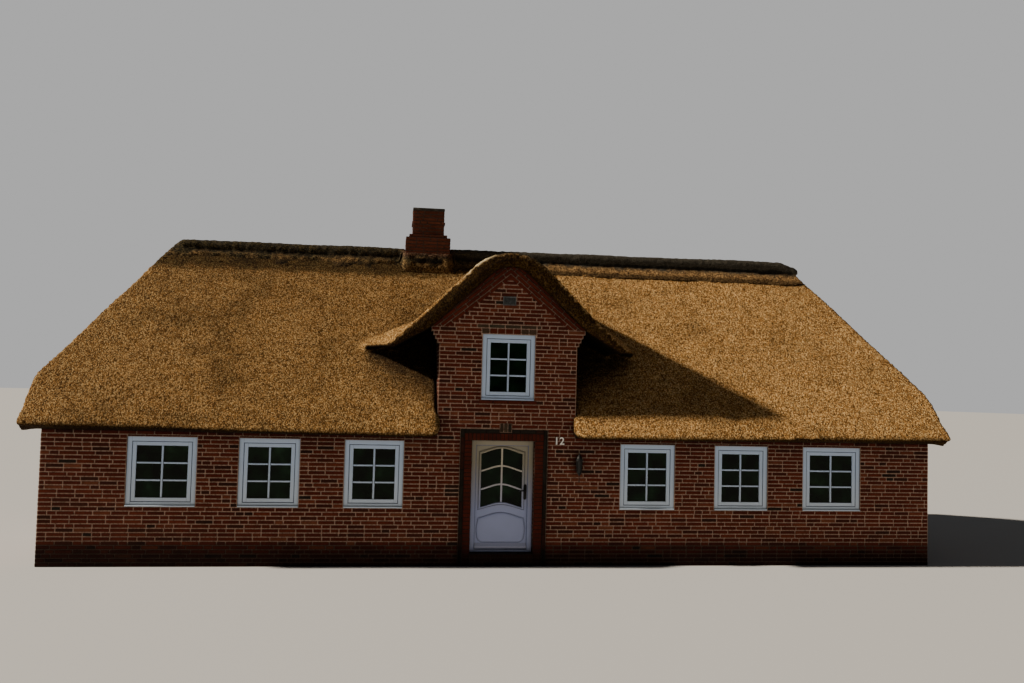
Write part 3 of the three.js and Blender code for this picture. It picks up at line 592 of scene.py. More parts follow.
# What makes each finish, with its name and values
FINISHES = {
    "clay": (fired_clay,),
    "mortar": (lime_mortar,),
    "reed": (combed_reed,),
    "heather": (heather,),
    "paint": (gloss_paint,),
    # A door's paint and its bars' paint: white greyed as painted shade, bluish low down and creamier at the
    # top
    "door paint": (gloss_paint, "white_door_paint", "#a1acd8", "#a29b87"),
    "bar paint": (gloss_paint, "white_paint_on_bars", "#b8bee0", "#cdc5b2"),
    "glass": (float_glass,),
    "iron": (black_iron,),
    "boards": (floorboards,),
    # Cast slab, darkened by rain and quite matt
    "concrete": (mottled, "weathered_concrete", "#1f1d1c", "#4c4843", 14.0, 0.9),
    # Trowelled floor: pale grey with faint clouds
    "screed": (mottled, "floor_screed", "#85817a", "#a8a49b", 5.0, 0.8),
    # Joints of the chimney, brown with soot
    "soot": (mottled, "sooty_mortar", "#3a2c26", "#5c443a", 30.0, 0.95),
    # Joints of the door's surround, nearly black between black bricks
    "dark mortar": (mottled, "dark_mortar", "#17110d", "#2a1e16", 25.0, 0.95),
    # Extruded rubber, coloured partly as the painted shade of the gap: a dull blue-grey line round each sash,
    # paler round the door
    "seal": (mottled, "blue_grey_rubber_seal", "#26335f", "#394a7d", 25.0, 0.7),
    "door seal": (mottled, "pale_rubber_seal", "#5f6a96", "#7883ac", 25.0, 0.7),
    # Smoked panes over an unlit lamp: black with a soft glint
    "smoked glass": (mottled, "smoked_glass", "#030404", "#070808", 8.0, 0.45),
    # Rolled zinc that has dulled in grey patches
    "zinc": (mottled, "weathered_zinc", "#4c5052", "#7d8284", 30.0, 0.55),
    # Fired enamel: clean, bright and even
    "enamel": (mottled, "white_enamel", "#f6f2ea", "#ffffff", 20.0, 0.4),
}
finishes = {}


def finish(kind):
    """Each material is made once, the first time a piece asks for it."""
    if kind not in finishes:
        maker, *values = FINISHES[kind]
        finishes[kind] = maker(*values)
    return finishes[kind]


# Brickwork
def openings(side):
    """Left, right, foot and head of each window in one wall, along the wall's own axes."""
    turn = wall_place(side).inverted()
    for name in WINDOWS:
        low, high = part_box(name + "_frame")
        a, b = turn @ low, turn @ high
        if name != "window_dormer" and max(a.y, b.y) < 0.2 and min(a.y, b.y) > -0.1:
            yield min(a.x, b.x), max(a.x, b.x), low.z, high.z


def surround_span():
    """The door's surround from side to side, measured beyond the casing."""
    return DOOR_LO.x - 0.198, DOOR_HI.x + 0.218


class COTTAGE_OT_walls(bpy.types.Operator):
    """Mortar, plaster and the bricks of the four walls"""
    bl_idname = "cottage.walls"
    bl_label = "Walls"

    def execute(self, context):
        course = context.scene.cottage_brick.course
        dress("mortar", "front_wall_left", "front_wall_right", "back_wall", "end_wall_left", "end_wall_right",
              "gable_wall", "dormer_cheek_left", "dormer_cheek_right")
        dress("screed", "ground_floor")
        dress("boards", "upper_floor")
        # Bricks stop where the thatch hides them; an end wall also narrows under the long slopes
        long_head, end_head, slope_top = 2.16, 2.93, 5.10
        for number, side in enumerate(("front", "back", "left", "right")):
            layer = Bricklayer(100 + number)
            place = wall_place(side)
            windows = list(openings(side))
            along = side in ("front", "back")
            for row in range(int((long_head if along else end_head) / course)):
                z = row * course
                middle = z + course / 2
                half = HOUSE_END if along else min(-FACADE, slope_top - z - course)
                holes = [(left, right) for left, right, foot, head in windows
                         if foot - 0.004 < middle < head + 0.004]
                if side == "front":
                    holes.append(surround_span())
                layer.course(place, z, (-half, half), holes)
            self.close_openings(layer, place, windows)
            layer.done("bricks_" + side)
        return {"FINISHED"}

    def close_openings(self, layer, place, windows):
        """Cut bricks between a window and the whole courses over and under it."""
        course = layer.size.course
        for left, right, foot, head in windows:
            above = course * math.ceil((head + 0.004) / course - 0.5)
            below = course * (math.floor((foot - 0.004) / course - 0.5) + 1)
            count = max(1, round((right - left) / layer.size.stretcher))
            step = (right - left) / count
            for bottom, top in ((head, above), (below, foot)):
                for i in range(count if top - bottom > 0.014 else 0):
                    layer.brick(place, left + i * step, left + (i + 1) * step, bottom, top, joint=0.008)


class COTTAGE_OT_gable(bpy.types.Operator):
    """Bricks of the dormer gable: corbels, verge bands, window head and vent"""
    bl_idname = "cottage.gable"
    bl_label = "Gable"

    def execute(self, context):
        course = context.scene.cottage_brick.course
        layer = Bricklayer(7)
        place = wall_place("front") @ Matrix.Translation((DORMER_X, 0, 0))
        # The gable's point and slope, the rows of its four corbels, the row where the bands begin, a
        # corbel's step out, and half widths of the top header, the window's head and the brick that covers it
        apex, rise = 4.815, 0.826
        corbels, band_row = range(55, 59), 59
        step, header_half, head_half, cover = 0.035, 0.065, 0.47, 0.55
        window_lo, window_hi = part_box("window_dormer_frame")
        door = [edge - DORMER_X for edge in surround_span()]
        for row in range(32, math.ceil((apex - 0.01) / course)):
            z = row * course
            middle = z + course / 2
            half = DORMER_HALF
            if row in corbels:
                half += step * (row - corbels[0] + 1)
            if row >= band_row:
                half = max((apex - middle) / rise + 0.03, header_half)
            holes = []
            if window_lo.z - 0.004 < middle < window_hi.z + 0.004:
                holes.append((window_lo.x - DORMER_X, window_hi.x - DORMER_X))
            if middle < DOOR_HI.z + 0.19:
                holes.append(door)
            if row in corbels[2:]:
                holes = [(-head_half, head_half)]
            if row == band_row:
                holes = [(-cover, cover)]
                layer.course(place, z, (-cover, cover), tone=0.03, lichen=0.3)
            layer.course(place, z, (-half, half), holes)
        self.verge_bands(layer, place, apex, rise, band_row * course)
        # Upright headers over the window, a sill under it
        header = 2 * head_half / 7
        for i in range(7):
            x = -head_half + i * 2 * head_half / 7
            dark = i in (0, 5, 6)
            layer.brick(place, x, x + header, window_hi.z + 0.002, band_row * course, 0.002,
                        0.05 if dark else 0.5, lichen=0.3 if dark else 0.0)
        sill_half, sill_brick = 0.50, 0.25
        for i in range(4):
            x = -sill_half + i * sill_brick
            layer.brick(place, x, x + sill_brick, window_lo.z - course, window_lo.z, 0.014, 0.3)
        layer.done("bricks_gable")
        self.cheeks(course)
        self.vent()
        return {"FINISHED"}

    def verge_bands(self, layer, place, apex, rise, base):
        """Four courses that follow the slope, laid past the gable's point and then cut to its shape."""
        course = layer.size.course
        slope = math.atan(rise)
        foot = (apex - base) / rise
        run = foot / math.cos(slope) + 0.3
        long, shift, tier = 0.272, 0.09, 0.005
        start = len(layer.bm.faces)
        for side in (1, -1):
            axes = Matrix(((-side * math.cos(slope), 0, side * math.sin(slope), side * foot),
                           (0, 1, 0, 0), (math.sin(slope), 0, math.cos(slope), base), (0, 0, 0, 1)))
            for i in range(4):
                x = -0.45 + shift * i
                while x < run:
                    layer.brick(place @ axes, x, x + long, i * course, (i + 1) * course, 0.006 + tier * i,
                                layer.rng.uniform(0.3, 0.75))
                    x += long
        layer.bm.faces.ensure_lookup_table()
        bands = layer.bm.faces[start:]
        half_of = {face: 1 if i < len(bands) // 2 else -1 for i, face in enumerate(bands)}
        # Level foot, a mitre where the two halves meet, and a crown rounded in five facets
        middle, crown, crown_radius = Vector((DORMER_X, 0, 0)), Vector((DORMER_X, 0, 4.556)), 0.460
        cuts = [((DORMER_X, 0, base + 0.006), (0, 0, -1), None),
                (middle, (-1, 0, 0), 1), (middle, (1, 0, 0), -1)]
        for turn in (-40, -20, 0, 20, 40):
            out = Vector((math.sin(math.radians(turn)), 0, math.cos(math.radians(turn))))
            cuts.append((crown + out * crown_radius, out, None))
        for co, normal, only in cuts:
            picked = [f for f in half_of if only in (None, half_of[f])]
            corners = {v for f in picked for v in f.verts}
            geometry = list(corners | {e for f in picked for e in f.edges}) + picked
            cut = bmesh.ops.bisect_plane(layer.bm, geom=geometry, dist=1e-6, plane_co=co, plane_no=normal,
                                         clear_outer=True)
            half_of = {f: half for f, half in half_of.items() if f.is_valid}
            fresh = [g for g in cut["geom"]
                     if isinstance(g, bmesh.types.BMFace) and g.is_valid and g not in half_of]
            edges = [g for g in cut["geom_cut"] if isinstance(g, bmesh.types.BMEdge)]
            filled = bmesh.ops.holes_fill(layer.bm, edges=edges)["faces"]
            for corner in (corner for f in filled for corner in f.loops):
                corner[layer.tones] = (0.5, 0.5, 0.0, 1.0)
            for f in fresh + filled:
                half_of[f] = 1 if f.calc_center_median().x > DORMER_X else -1

    def cheeks(self, course):
        """The dormer's sides, down to where the long slope's thatch hides them."""
        layer = Bricklayer(17)
        front, rear, ridge = -3.0, -1.2, 5.54
        for side in (1, -1):
            wall = Matrix.Translation((DORMER_X + side * DORMER_HALF, 0, 0)) @ Matrix.Rotation(
                side * math.pi / 2, 4, "Z")
            for row in range(34, 57):
                z = row * course
                back = min(rear, z + course - ridge + 0.05)
                if back - front > 0.1:
                    layer.course(wall, z, (front, back) if side > 0 else (-back, -front))
        layer.done("bricks_cheeks")

    def vent(self):
        """A louvred vent near the gable's point, over a black plate that is painted shade inside it."""
        bm = bmesh.new()
        x, y, z = DORMER_X - 0.01, FACADE - 0.014, 4.44
        outer, inner, head, foot = 0.110, 0.098, 0.0725, 0.060
        for x0, z0, x1, z1 in ((-outer, -head, outer, -foot), (-outer, foot, outer, head),
                               (-outer, -foot, -inner, foot), (inner, -foot, outer, foot)):
            block(bm, (x + x0, y, z + z0), (x + x1, FACADE + 0.01, z + z1))
        for i in range(6):
            level = z - 0.050 + i * 0.020
            tilt = Matrix.Translation((0, y + 0.007, level)) @ Matrix.Rotation(math.radians(-35), 4, "X")
            block(bm, (x - inner, -0.009, -0.0015), (x + inner, 0.009, 0.0015), place=tilt)
        put("gable_vent", bm, "zinc")
        bm = bmesh.new()
        block(bm, (x - 0.105, FACADE - 0.0105, z - 0.066), (x + 0.105, FACADE + 0.008, z + 0.066))
        put("gable_vent_painted_shade_plate", bm, "iron")


class COTTAGE_OT_surround(bpy.types.Operator):
    """Red and burnt brick bands around the front door, its reveals and step"""
    bl_idname = "cottage.surround"
    bl_label = "Door surround"

    def execute(self, context):
        course = context.scene.cottage_brick.course
        layer = Bricklayer(23)
        place = wall_place("front")
        left, right = surround_span()
        band, upright, tight = 0.066, 0.125, 0.006
        inner_left, inner_right = left + band, right - band
        head = DOOR_HI.z + 0.002
        soldier, cap = head + upright, head + upright + band
        rows = int(head / course)
        for row in range(rows + 1):
            z = row * course
            tone = layer.rng.uniform(0.15, 0.3)
            for x0, x1 in ((inner_left, DOOR_LO.x), (DOOR_HI.x, inner_right)):
                layer.brick(place, x0, x1, z, min(z + course, head), 0.004, tone, joint=tight)
        z = 0.0
        while z < cap - 0.05:
            top = min(z + 0.267, cap)
            for x0, x1 in ((left, inner_left), (inner_right, right)):
                layer.brick(place, x0, x1, z, top, 0.016, 0.0, joint=tight)
            z = top
        count = round((inner_right - inner_left) / course)
        step = (inner_right - inner_left) / count
        for i in range(count):
            x = inner_left + i * step
            layer.brick(place, x, x + step, head, soldier, 0.004, layer.rng.uniform(0.12, 0.28), joint=tight)
        key_left, key_right, header = DORMER_X - 0.124, DORMER_X + 0.083, 0.069
        layer.course(place, soldier, (inner_left, inner_right), [(key_left, key_right)], proud=0.016,
                     tone=0.0)
        # A keystone of three grey headers that breaks the black band
        for i, lichen in enumerate((0.15, 0.25, 0.08)):
            x = key_left + i * header
            layer.brick(place, x, x + header, soldier + 0.014, cap + 0.105, 0.010, 0.0, lichen=lichen,
                        joint=0.010)
        # Reveals in the thickness of the wall, from the third course up
        deep, sill_top = 0.112, 0.213
        for edge, turn in ((DOOR_LO.x, 90), (DOOR_HI.x, -90)):
            wall = Matrix.Translation((edge, FACADE, 0)) @ Matrix.Rotation(math.radians(turn), 4, "Z")
            for row in range(3, rows + 1):
                z = row * course
                a, b = (0.0, deep) if turn > 0 else (-deep, 0.0)
                layer.brick(wall, a, b, max(z, sill_top), min(z + course, head - 0.004), -0.006,
                            layer.rng.uniform(0.25, 0.6), bed=0.0)
        # Step under the door: fifteen bricks on edge over two flat courses
        low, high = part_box("door_sill")
        step_place = Matrix.Translation((0, low.y, 0))
        count = 15
        wide = (high.x - low.x) / count
        for i in range(count):
            x = low.x + i * wide
            layer.brick(step_place, x, x + wide, 0.137, 0.205, 0.004, layer.rng.uniform(0.1, 0.4))
        layer.course(step_place, 0.070, (low.x, high.x), tone=0.2)
        layer.course(step_place, 0.004, (low.x, high.x), tone=0.03)
        layer.done("bricks_door_surround")

        # The joints of the surround are dark
        bm = bmesh.new()
        for x0, x1, foot in ((left, DOOR_LO.x, 0.0), (DOOR_HI.x, right, 0.0), (DOOR_LO.x, DOOR_HI.x, head)):
            block(bm, (x0 + 0.002, FACADE - 0.008, foot + 0.002), (x1 - 0.002, FACADE + 0.008, cap - 0.002))
        put("joints_door_surround", bm, "dark mortar")
        bm = bmesh.new()
        block(bm, (key_left, FACADE - 0.0095, soldier + 0.016), (key_right, FACADE + 0.008, cap + 0.1))
        put("joints_keystone", bm, "mortar")
        dress("dark mortar", "door_sill")
        return {"FINISHED"}


class COTTAGE_OT_chimney(bpy.types.Operator):
    """Brick faces of the chimney and its cap"""
    bl_idname = "cottage.chimney"
    bl_label = "Chimney"

    def execute(self, context):
        course = context.scene.cottage_brick.course
        dress("soot", "chimney_stack")
        layer = Bricklayer(31)
        # Bottom, top, half width and half depth of its three steps; one course of the shaft stands proud
        parts = [(5.20, 5.887, 0.435, 0.300), (5.887, 5.949, 0.37, 0.27), (5.949, 6.43, 0.305, 0.24)]
        band = 6.16
        for turn in range(4):
            spin = Matrix.Translation((STACK_X, 0, 0)) @ Matrix.Rotation(turn * math.pi / 2, 4, "Z")
            for bottom, top, wide, deep in parts:
                half, out = (wide, deep) if turn % 2 == 0 else (deep, wide)
                place = spin @ Matrix.Translation((0, -out, 0))
                count = max(1, round((top - bottom) / course))
                step = (top - bottom) / count
                for row in range(count):
                    z = bottom + row * step
                    proud = 0.012 if abs(z - band) < 0.04 else -0.003
                    layer.course(place, z, (-half - 0.002, half + 0.002), proud=proud,
                                 tone=layer.rng.uniform(0.5, 1.0), lichen=0.14)
        layer.done("bricks_chimney")

        bm = bmesh.new()
        low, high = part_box("chimney_cap")
        block(bm, low, high)
        soften(bm, 0.012, 2)
        bmesh.ops.subdivide_edges(bm, edges=[e for e in bm.edges if e.calc_length() > 0.2], cuts=4,
                                  use_grid_fill=True)
        put("chimney_cap_slab", bm, "concrete", ["chimney_cap"], smooth=40)
        return {"FINISHED"}


# Joinery
def ring(bm, wide, high, inset, face, y0, y1, place):
    """Four members of a frame, face wide and drawn in by inset all round."""
    a, b = wide / 2 - inset, high - inset
    block(bm, (-a, y0, inset), (-a + face, y1, b), place=place)
    block(bm, (a - face, y0, inset), (a, y1, b), place=place)
    block(bm, (-a + face, y0, b - face), (a - face, y1, b), place=place)
    block(bm, (-a + face, y0, inset), (a - face, y1, inset + face), place=place)


def seal(bm, wide, high, place):
    """Dark seal in the open line between frame and sash, its colour partly painted shade of the gap."""
    size = bpy.context.scene.cottage_joinery
    ring(bm, wide, high, size.frame_face - 0.001, size.gap + 0.002, 0.016, 0.040, place)


def casement(bm, wide, high, place):
    """Rebated frame, sash and glazing bars, seen from -Y, with its foot at z = 0."""
    size = bpy.context.scene.cottage_joinery
    half = wide / 2
    room, rebate = 0.0003, 0.018
    ring(bm, wide, high, room, size.frame_face, 0.0, 0.050, place)
    ring(bm, wide, high, room, size.frame_face + rebate, 0.050, 0.078, place)
    sash = size.frame_face + size.gap
    ring(bm, wide, high, sash, size.sash_face, 0.006, 0.048, place)
    inner = sash + size.sash_face
    a, top = half - inner, high - inner
    bar, pane = size.bar / 2, 0.0335
    block(bm, (-bar, 0.014, inner), (bar, pane, top), 0.006, place)
    for i in (1, 2):
        z = inner + (top - inner) * i / 3
        for x0, x1 in ((-a, -bar), (bar, a)):
            block(bm, (x0, 0.016, z - bar * 0.9), (x1, pane, z + bar * 0.9), 0.005, place)
    block(bm, (-half + 0.002, -0.034, 0.0), (half - 0.002, 0.0, 0.026), 0.003, place)


class COTTAGE_OT_windows(bpy.types.Operator):
    """White casement windows with two by three panes"""
    bl_idname = "cottage.windows"
    bl_label = "Windows"

    def execute(self, context):
        for name in WINDOWS:
            low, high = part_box(name + "_frame")
            middle = (low + high) / 2
            side = "front"
            if name.startswith("window_back"):
                side = "back"
            elif name.endswith("_end"):
                side = "left" if middle.x < 0 else "right"
            turn = wall_place(side).to_3x3().to_4x4()
            flat = turn.inverted() @ (high - low)
            wide, deep = abs(flat.x), abs(flat.y)
            place = (Matrix.Translation((middle.x, middle.y, low.z)) @ turn
                     @ Matrix.Translation((0, -deep / 2, 0)))
            bm = bmesh.new()
            casement(bm, wide, high.z - low.z, place)
            soften(bm, 0.0025, 1)
            put(name + "_casement", bm, "paint", [name + "_frame"])
            bm = bmesh.new()
            seal(bm, wide, high.z - low.z, place)
            put(name + "_seal", bm, "seal")
            dress("glass", name + "_glass")
        return {"FINISHED"}


def swell(u):
    """The door's curved line: level at the sides, u = -1 and 1, and swept up to the middle."""
    return 0.5 * (1 - u * u) + 0.25 * (1 + math.cos(math.pi * u))


def swept(x0, x1, side, rise, steps=20):
    """That line from x0 to x1, side high at its ends and rise more in the middle."""
    return [(x0 + (x1 - x0) * i / steps, side + rise * swell(2 * i / steps - 1)) for i in range(steps + 1)]


def light_loop(grow, y):
    """Outline of the glazed light, grown outwards."""
    x0, x1 = LEAF_LO.x + STILE - grow, LEAF_HI.x - STILE + grow
    foot, foot_rise, head, head_rise = 0.956, 0.086, 1.851, 0.092
    bottom = swept(x0, x1, foot - grow, foot_rise)
    top = swept(x0, x1, head + grow, head_rise)[::-1]
    return [(x, y, z) for x, z in bottom + top]


def panel_loop(grow, y):
    """Outline of the lower panel: bowed sides, round lower corners, swept top; grown outwards."""
    middle, low, shoulder, round_at = (LEAF_LO.x + LEAF_HI.x) / 2, 0.366, 0.784, 0.115
    foot_half, side_half, bow, taper, rise = 0.294, 0.409, 0.018, 0.014, 0.094
    side = []
    for i in range(7):
        a = math.radians(15 * i)
        side.append((foot_half + grow / 2 + (round_at + grow / 2) * math.sin(a),
                     low + round_at - grow / 2 - (round_at + grow / 2) * math.cos(a)))
    for i in range(1, 6):
        t = i / 5
        side.append((side_half + bow * math.sin(math.pi * min(t * 1.15, 1)) - taper * t + grow,
                     low + round_at + (shoulder - low - round_at) * t + grow * t))
    half, top = side[-1]
    points = [(middle + x, z) for x, z in side] + swept(middle - half, middle + half, top, rise)[-2:0:-1]
    points += [(middle - x, z) for x, z in reversed(side)]
    return [(x, y, z) for x, z in points]


class COTTAGE_OT_door(bpy.types.Operator):
    """White front door with an arched light over a raised panel, and its casing"""
    bl_idname = "cottage.door"
    bl_label = "Front door"

    def execute(self, context):
        self.leaf(LEAF_LO.y, LEAF_HI.y)
        self.glazing(LEAF_LO.y)
        self.weatherboard(LEAF_LO.y)
        self.casing(DOOR_LO, DOOR_HI)
        self.seal(DOOR_LO, DOOR_HI)
        return {"FINISHED"}

    def leaf(self, front, back):
        """The leaf with its mouldings: each row of pairs grows a loop and sets how deep it lies."""
        def edge_of_leaf(y):
            return [(LEAF_LO.x, y, LEAF_LO.z), (LEAF_HI.x, y, LEAF_LO.z), (LEAF_HI.x, y, LEAF_HI.z),
                    (LEAF_LO.x, y, LEAF_HI.z)]

        bm = bmesh.new()
        outer = loop(bm, edge_of_leaf(front))
        lights = [loop(bm, light_loop(g, y)) for g, y in (
            (0.048, front), (0.045, front + 0.012), (0.033, front + 0.012), (0.029, front - 0.006),
            (0.012, front - 0.010), (0.004, front - 0.004), (0.0, front + 0.006), (0.0, back))]
        panels = [loop(bm, panel_loop(g, y)) for g, y in (
            (0.004, front), (0.0, front + 0.010), (-0.010, front + 0.010), (-0.016, front - 0.002),
            (-0.040, front - 0.008), (-0.048, front - 0.008))]
        rear = loop(bm, edge_of_leaf(back))
        bmesh.ops.triangle_fill(bm, use_beauty=True, edges=outer + lights[0] + panels[0], normal=(0, -1, 0))
        bmesh.ops.triangle_fill(bm, use_beauty=True, edges=rear + lights[-1], normal=(0, 1, 0))
        bm.faces.new([edge.verts[0] for edge in panels[-1]])
        bmesh.ops.bridge_loops(bm, edges=outer + rear)
        for rings in (lights, panels):
            for one, other in zip(rings, rings[1:]):
                for here, there in zip(one, other):
                    bm.faces.new((here.verts[0], here.verts[1], there.verts[1], there.verts[0]))
        put("door_leaf", bm, "door paint", ["front_door"], "door", smooth=35)

    def glazing(self, front):
        """Two swept bars, one upright bar, and the pane behind them."""
        bm = bmesh.new()
        x0, x1 = LEAF_LO.x + STILE, LEAF_HI.x - STILE
        y0, y1 = front + 0.006, front + 0.0185
        bar, rise = 0.028, 0.090
        for side in (1.237, 1.546):
            low = swept(x0, x1, side, rise)
            high = swept(x0, x1, side + bar, rise)[::-1]
            plate(bm, [(x, y0, z) for x, z in low + high], (0, y1 - y0, 0))
        left, right = (x0 + x1) / 2 - 0.015, (x0 + x1) / 2 + 0.015
        foot, head, y0 = 1.035, 1.946, y0 - 0.002
        plate(bm, [(left, y0, foot), (right, y0, foot), (right, y0, head), (left, y0, head)], (0, y1 - y0, 0))
        soften(bm, 0.003, 1)
        put("door_glazing_bars", bm, "bar paint", (), "door")
        bm = bmesh.new()
        plate(bm, light_loop(0.006, front + 0.019), (0, 0.012, 0))
        put("door_pane", bm, "glass", ["front_door_glass"], "door")

    def weatherboard(self, front):
        """The board across the leaf's foot that throws the rain off the sill."""
        bm = bmesh.new()
        inset = 0.022
        profile = ((0.001, 0.276), (-0.034, 0.282), (-0.036, 0.304), (0.001, 0.356))
        plate(bm, [(LEAF_LO.x + inset, front + out, z) for out, z in profile],
              (LEAF_HI.x - LEAF_LO.x - 2 * inset, 0, 0))
        soften(bm, 0.003, 2)
        put("door_weatherboard", bm, "bar paint", (), "door")

    def casing(self, lo, hi):
        """A wide face in front of a narrower rebate, and the barrels of the three hinges."""
        bm = bmesh.new()
        for face, y0, y1 in ((0.080, lo.y, lo.y + 0.020), (0.065, lo.y + 0.0205, hi.y)):
            block(bm, (lo.x, y0, lo.z), (lo.x + face, y1, hi.z))
            block(bm, (hi.x - face, y0, lo.z), (hi.x, y1, hi.z))
            block(bm, (lo.x + face, y0, hi.z - face), (hi.x - face, y1, hi.z))
            block(bm, (lo.x + face, y0, lo.z), (hi.x - face, y1, lo.z + 0.040))
        soften(bm, 0.003, 2)
        x, y = LEAF_LO.x - 0.0032, LEAF_HI.y + 0.004
        for z in (0.45, 1.13, 1.80):
            tube(bm, [(x, y, z - 0.05), (x, y, z + 0.05)], 0.006, 10)
        put("door_casing", bm, "door paint", ["door_frame"])

    def seal(self, lo, hi):
        """The seal that the leaf closes against, on three sides of the casing; its colour is partly painted
        shade of the joint.
        """
        bm = bmesh.new()
        face, wide, foot = 0.080, 0.007, lo.z + 0.041
        a, b, top = lo.x + face, hi.x - face, hi.z - face
        y0, y1 = lo.y + 0.010, LEAF_LO.y - 0.0006
        block(bm, (a, y0, foot), (a + wide, y1, top))
        block(bm, (b - wide, y0, foot), (b, y1, top))
        block(bm, (a + wide, y0, top - wide), (b - wide, y1, top))
        put("door_seal", bm, "door seal")


class COTTAGE_OT_handle(bpy.types.Operator):
    """Black lever handle on a long plate"""
    bl_idname = "cottage.handle"
    bl_label = "Door handle"

    def execute(self, context):
        low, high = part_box("door_handle")
        # A long plate with round ends, a lever that bends along the leaf, and a lock cylinder
        end, straight = 0.027, 0.103
        x, y, z = high.x - end, LEAF_LO.y, (low.z + high.z) / 2
        bm = bmesh.new()
        ends = [(math.cos(math.radians(a)), math.sin(math.radians(a))) for a in range(0, 181, 20)]
        outline = [(x + end * c, y, z + straight + end * s) for c, s in ends]
        outline += [(x - end * c, y, z - straight - end * s) for c, s in ends]
        plate(bm, outline, (0, -0.008, 0))
        soften(bm, 0.0025, 2)
        lever = [(0, 0, 0.022, 0.015), (0, 0.030, 0.022, 0.012), (0.004, 0.044, 0.022, 0.012),
                 (0.018, 0.050, 0.023, 0.012), (0.06, 0.052, 0.026, 0.011), (0.10, 0.052, 0.024, 0.011),
                 (0.118, 0.050, 0.016, 0.009)]
        tube(bm, [(x - along, y - out, z + up) for along, out, up, _ in lever], [r for *_, r in lever], 12)
        tube(bm, [(x, y, z - 0.055), (x, y - 0.012, z - 0.055)], 0.010, 14)
        put("door_lever", bm, "iron", ["door_handle"], "door", smooth=45)
        return {"FINISHED"}


class COTTAGE_OT_lantern(bpy.types.Operator):
    """Black six-sided wall lantern on a scrolled arm"""
    bl_idname = "cottage.lantern"
    bl_label = "Wall lantern"

    def execute(self, context):
        low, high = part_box("wall_lantern")
        x, y = (low.x + high.x) / 2, low.y + 0.063
        foot = low.z
        at = Matrix.Translation((x, y, foot))
        bm = bmesh.new()

        def cone(into, r0, r1, z0, z1):
            bmesh.ops.create_cone(into, cap_ends=True, segments=6, radius1=r0, radius2=r1, depth=z1 - z0,
                                  matrix=at @ Matrix.Translation((0, 0, (z0 + z1) / 2)))

        # Cup, base plate, rim and hood, from the foot up
        for tier in ((0.009, 0.028, 0.110, 0.140), (0.028, 0.040, 0.140, 0.160), (0.042, 0.042, 0.160, 0.170),
                     (0.056, 0.058, 0.358, 0.368), (0.061, 0.060, 0.368, 0.380), (0.058, 0.036, 0.380, 0.436),
                     (0.034, 0.012, 0.436, 0.466)):
            cone(bm, *tier)
        soften(bm, 0.002, 1)
        for i in range(6):
            a = math.radians(60 * i)
            tube(bm, [(x + r * math.sin(a), y + r * math.cos(a), foot + z)
                      for r, z in ((0.040, 0.165), (0.054, 0.362))], 0.004, 8)
        # Radius and height along the tail under the cup and the knob on the hood
        for spindle in (((0.001, 0.002), (0.008, 0.006), (0.011, 0.016), (0.008, 0.028), (0.005, 0.036),
                         (0.005, 0.108)), ((0.008, 0.462), (0.007, 0.478), (0.010, 0.486), (0.002, 0.499))):
            tube(bm, [(x, y, foot + z) for _, z in spindle], [r for r, _ in spindle], 12)
        arm = [(-0.010, 0.215), (-0.026, 0.235), (-0.016, 0.330), (-0.012, 0.400), (-0.022, 0.434),
               (-0.045, 0.440), (-0.068, 0.436), (-0.083, 0.428)]
        tube(bm, [(x, FACADE + out, foot + z) for out, z in arm], 0.006, 10)
        oval = [(x + 0.027 * math.cos(t), FACADE - 0.0095, foot + 0.29 + 0.105 * math.sin(t))
                for t in (math.radians(a) for a in range(0, 360, 15))]
        plate(bm, oval, (0, -0.004, 0))
        put("lantern_iron", bm, "iron", ["wall_lantern"], smooth=40)

        bm = bmesh.new()
        cone(bm, 0.037, 0.051, 0.168, 0.360)
        put("lantern_glass", bm, "smoked glass")
        return {"FINISHED"}


class COTTAGE_OT_number(bpy.types.Operator):
    """Plain raised house number beside the door"""
    bl_idname = "cottage.number"
    bl_label = "House number"

    def execute(self, context):
        words = bpy.data.curves.new("numeral", "FONT")
        for key, value in {"body": context.scene.cottage_joinery.numeral, "size": 0.176, "extrude": 0.005,
                           "bevel_depth": 0.0012, "offset": 0.001, "align_x": "CENTER", "align_y": "CENTER",
                           "space_character": 1.05}.items():
            setattr(words, key, value)
        draft = bpy.data.objects.new("numeral_draft", words)
        context.scene.collection.objects.link(draft)
        bm = evaluated(draft)
        bmesh.ops.remove_doubles(bm, verts=bm.verts, dist=1e-5)
        middle = (0.767, FACADE - 0.015, 2.09)
        stand = Matrix.Translation(middle) @ Matrix.Rotation(math.pi / 2, 4, "X")
        bmesh.ops.transform(bm, matrix=stand, verts=bm.verts)
        put("house_number", bm, "enamel")
        return {"FINISHED"}


# Straw
def remeshed(names, grain, fill=None):
    """One closed surface around several CAD solids, and around what fill adds inside them."""
    bm = bmesh.new()
    for name in names:
        bm.from_mesh(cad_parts[name].data)
    bmesh.ops.remove_doubles(bm, verts=bm.verts, dist=1e-5)
    if fill:
        fill(bm)
    draft = link_mesh("straw_draft", bm)
    voxels = draft.modifiers.new("voxels", "REMESH")
    voxels.mode = "VOXEL"
    voxels.voxel_size = grain
    return evaluated(draft)


def relax(bm, verts, factors):
    """Smooths points; a negative factor gives back what the one before it shrinks."""
    for factor in factors:
        bmesh.ops.smooth_vert(bm, verts=verts, factor=factor, use_axis_x=True, use_axis_y=True,
                              use_axis_z=True)


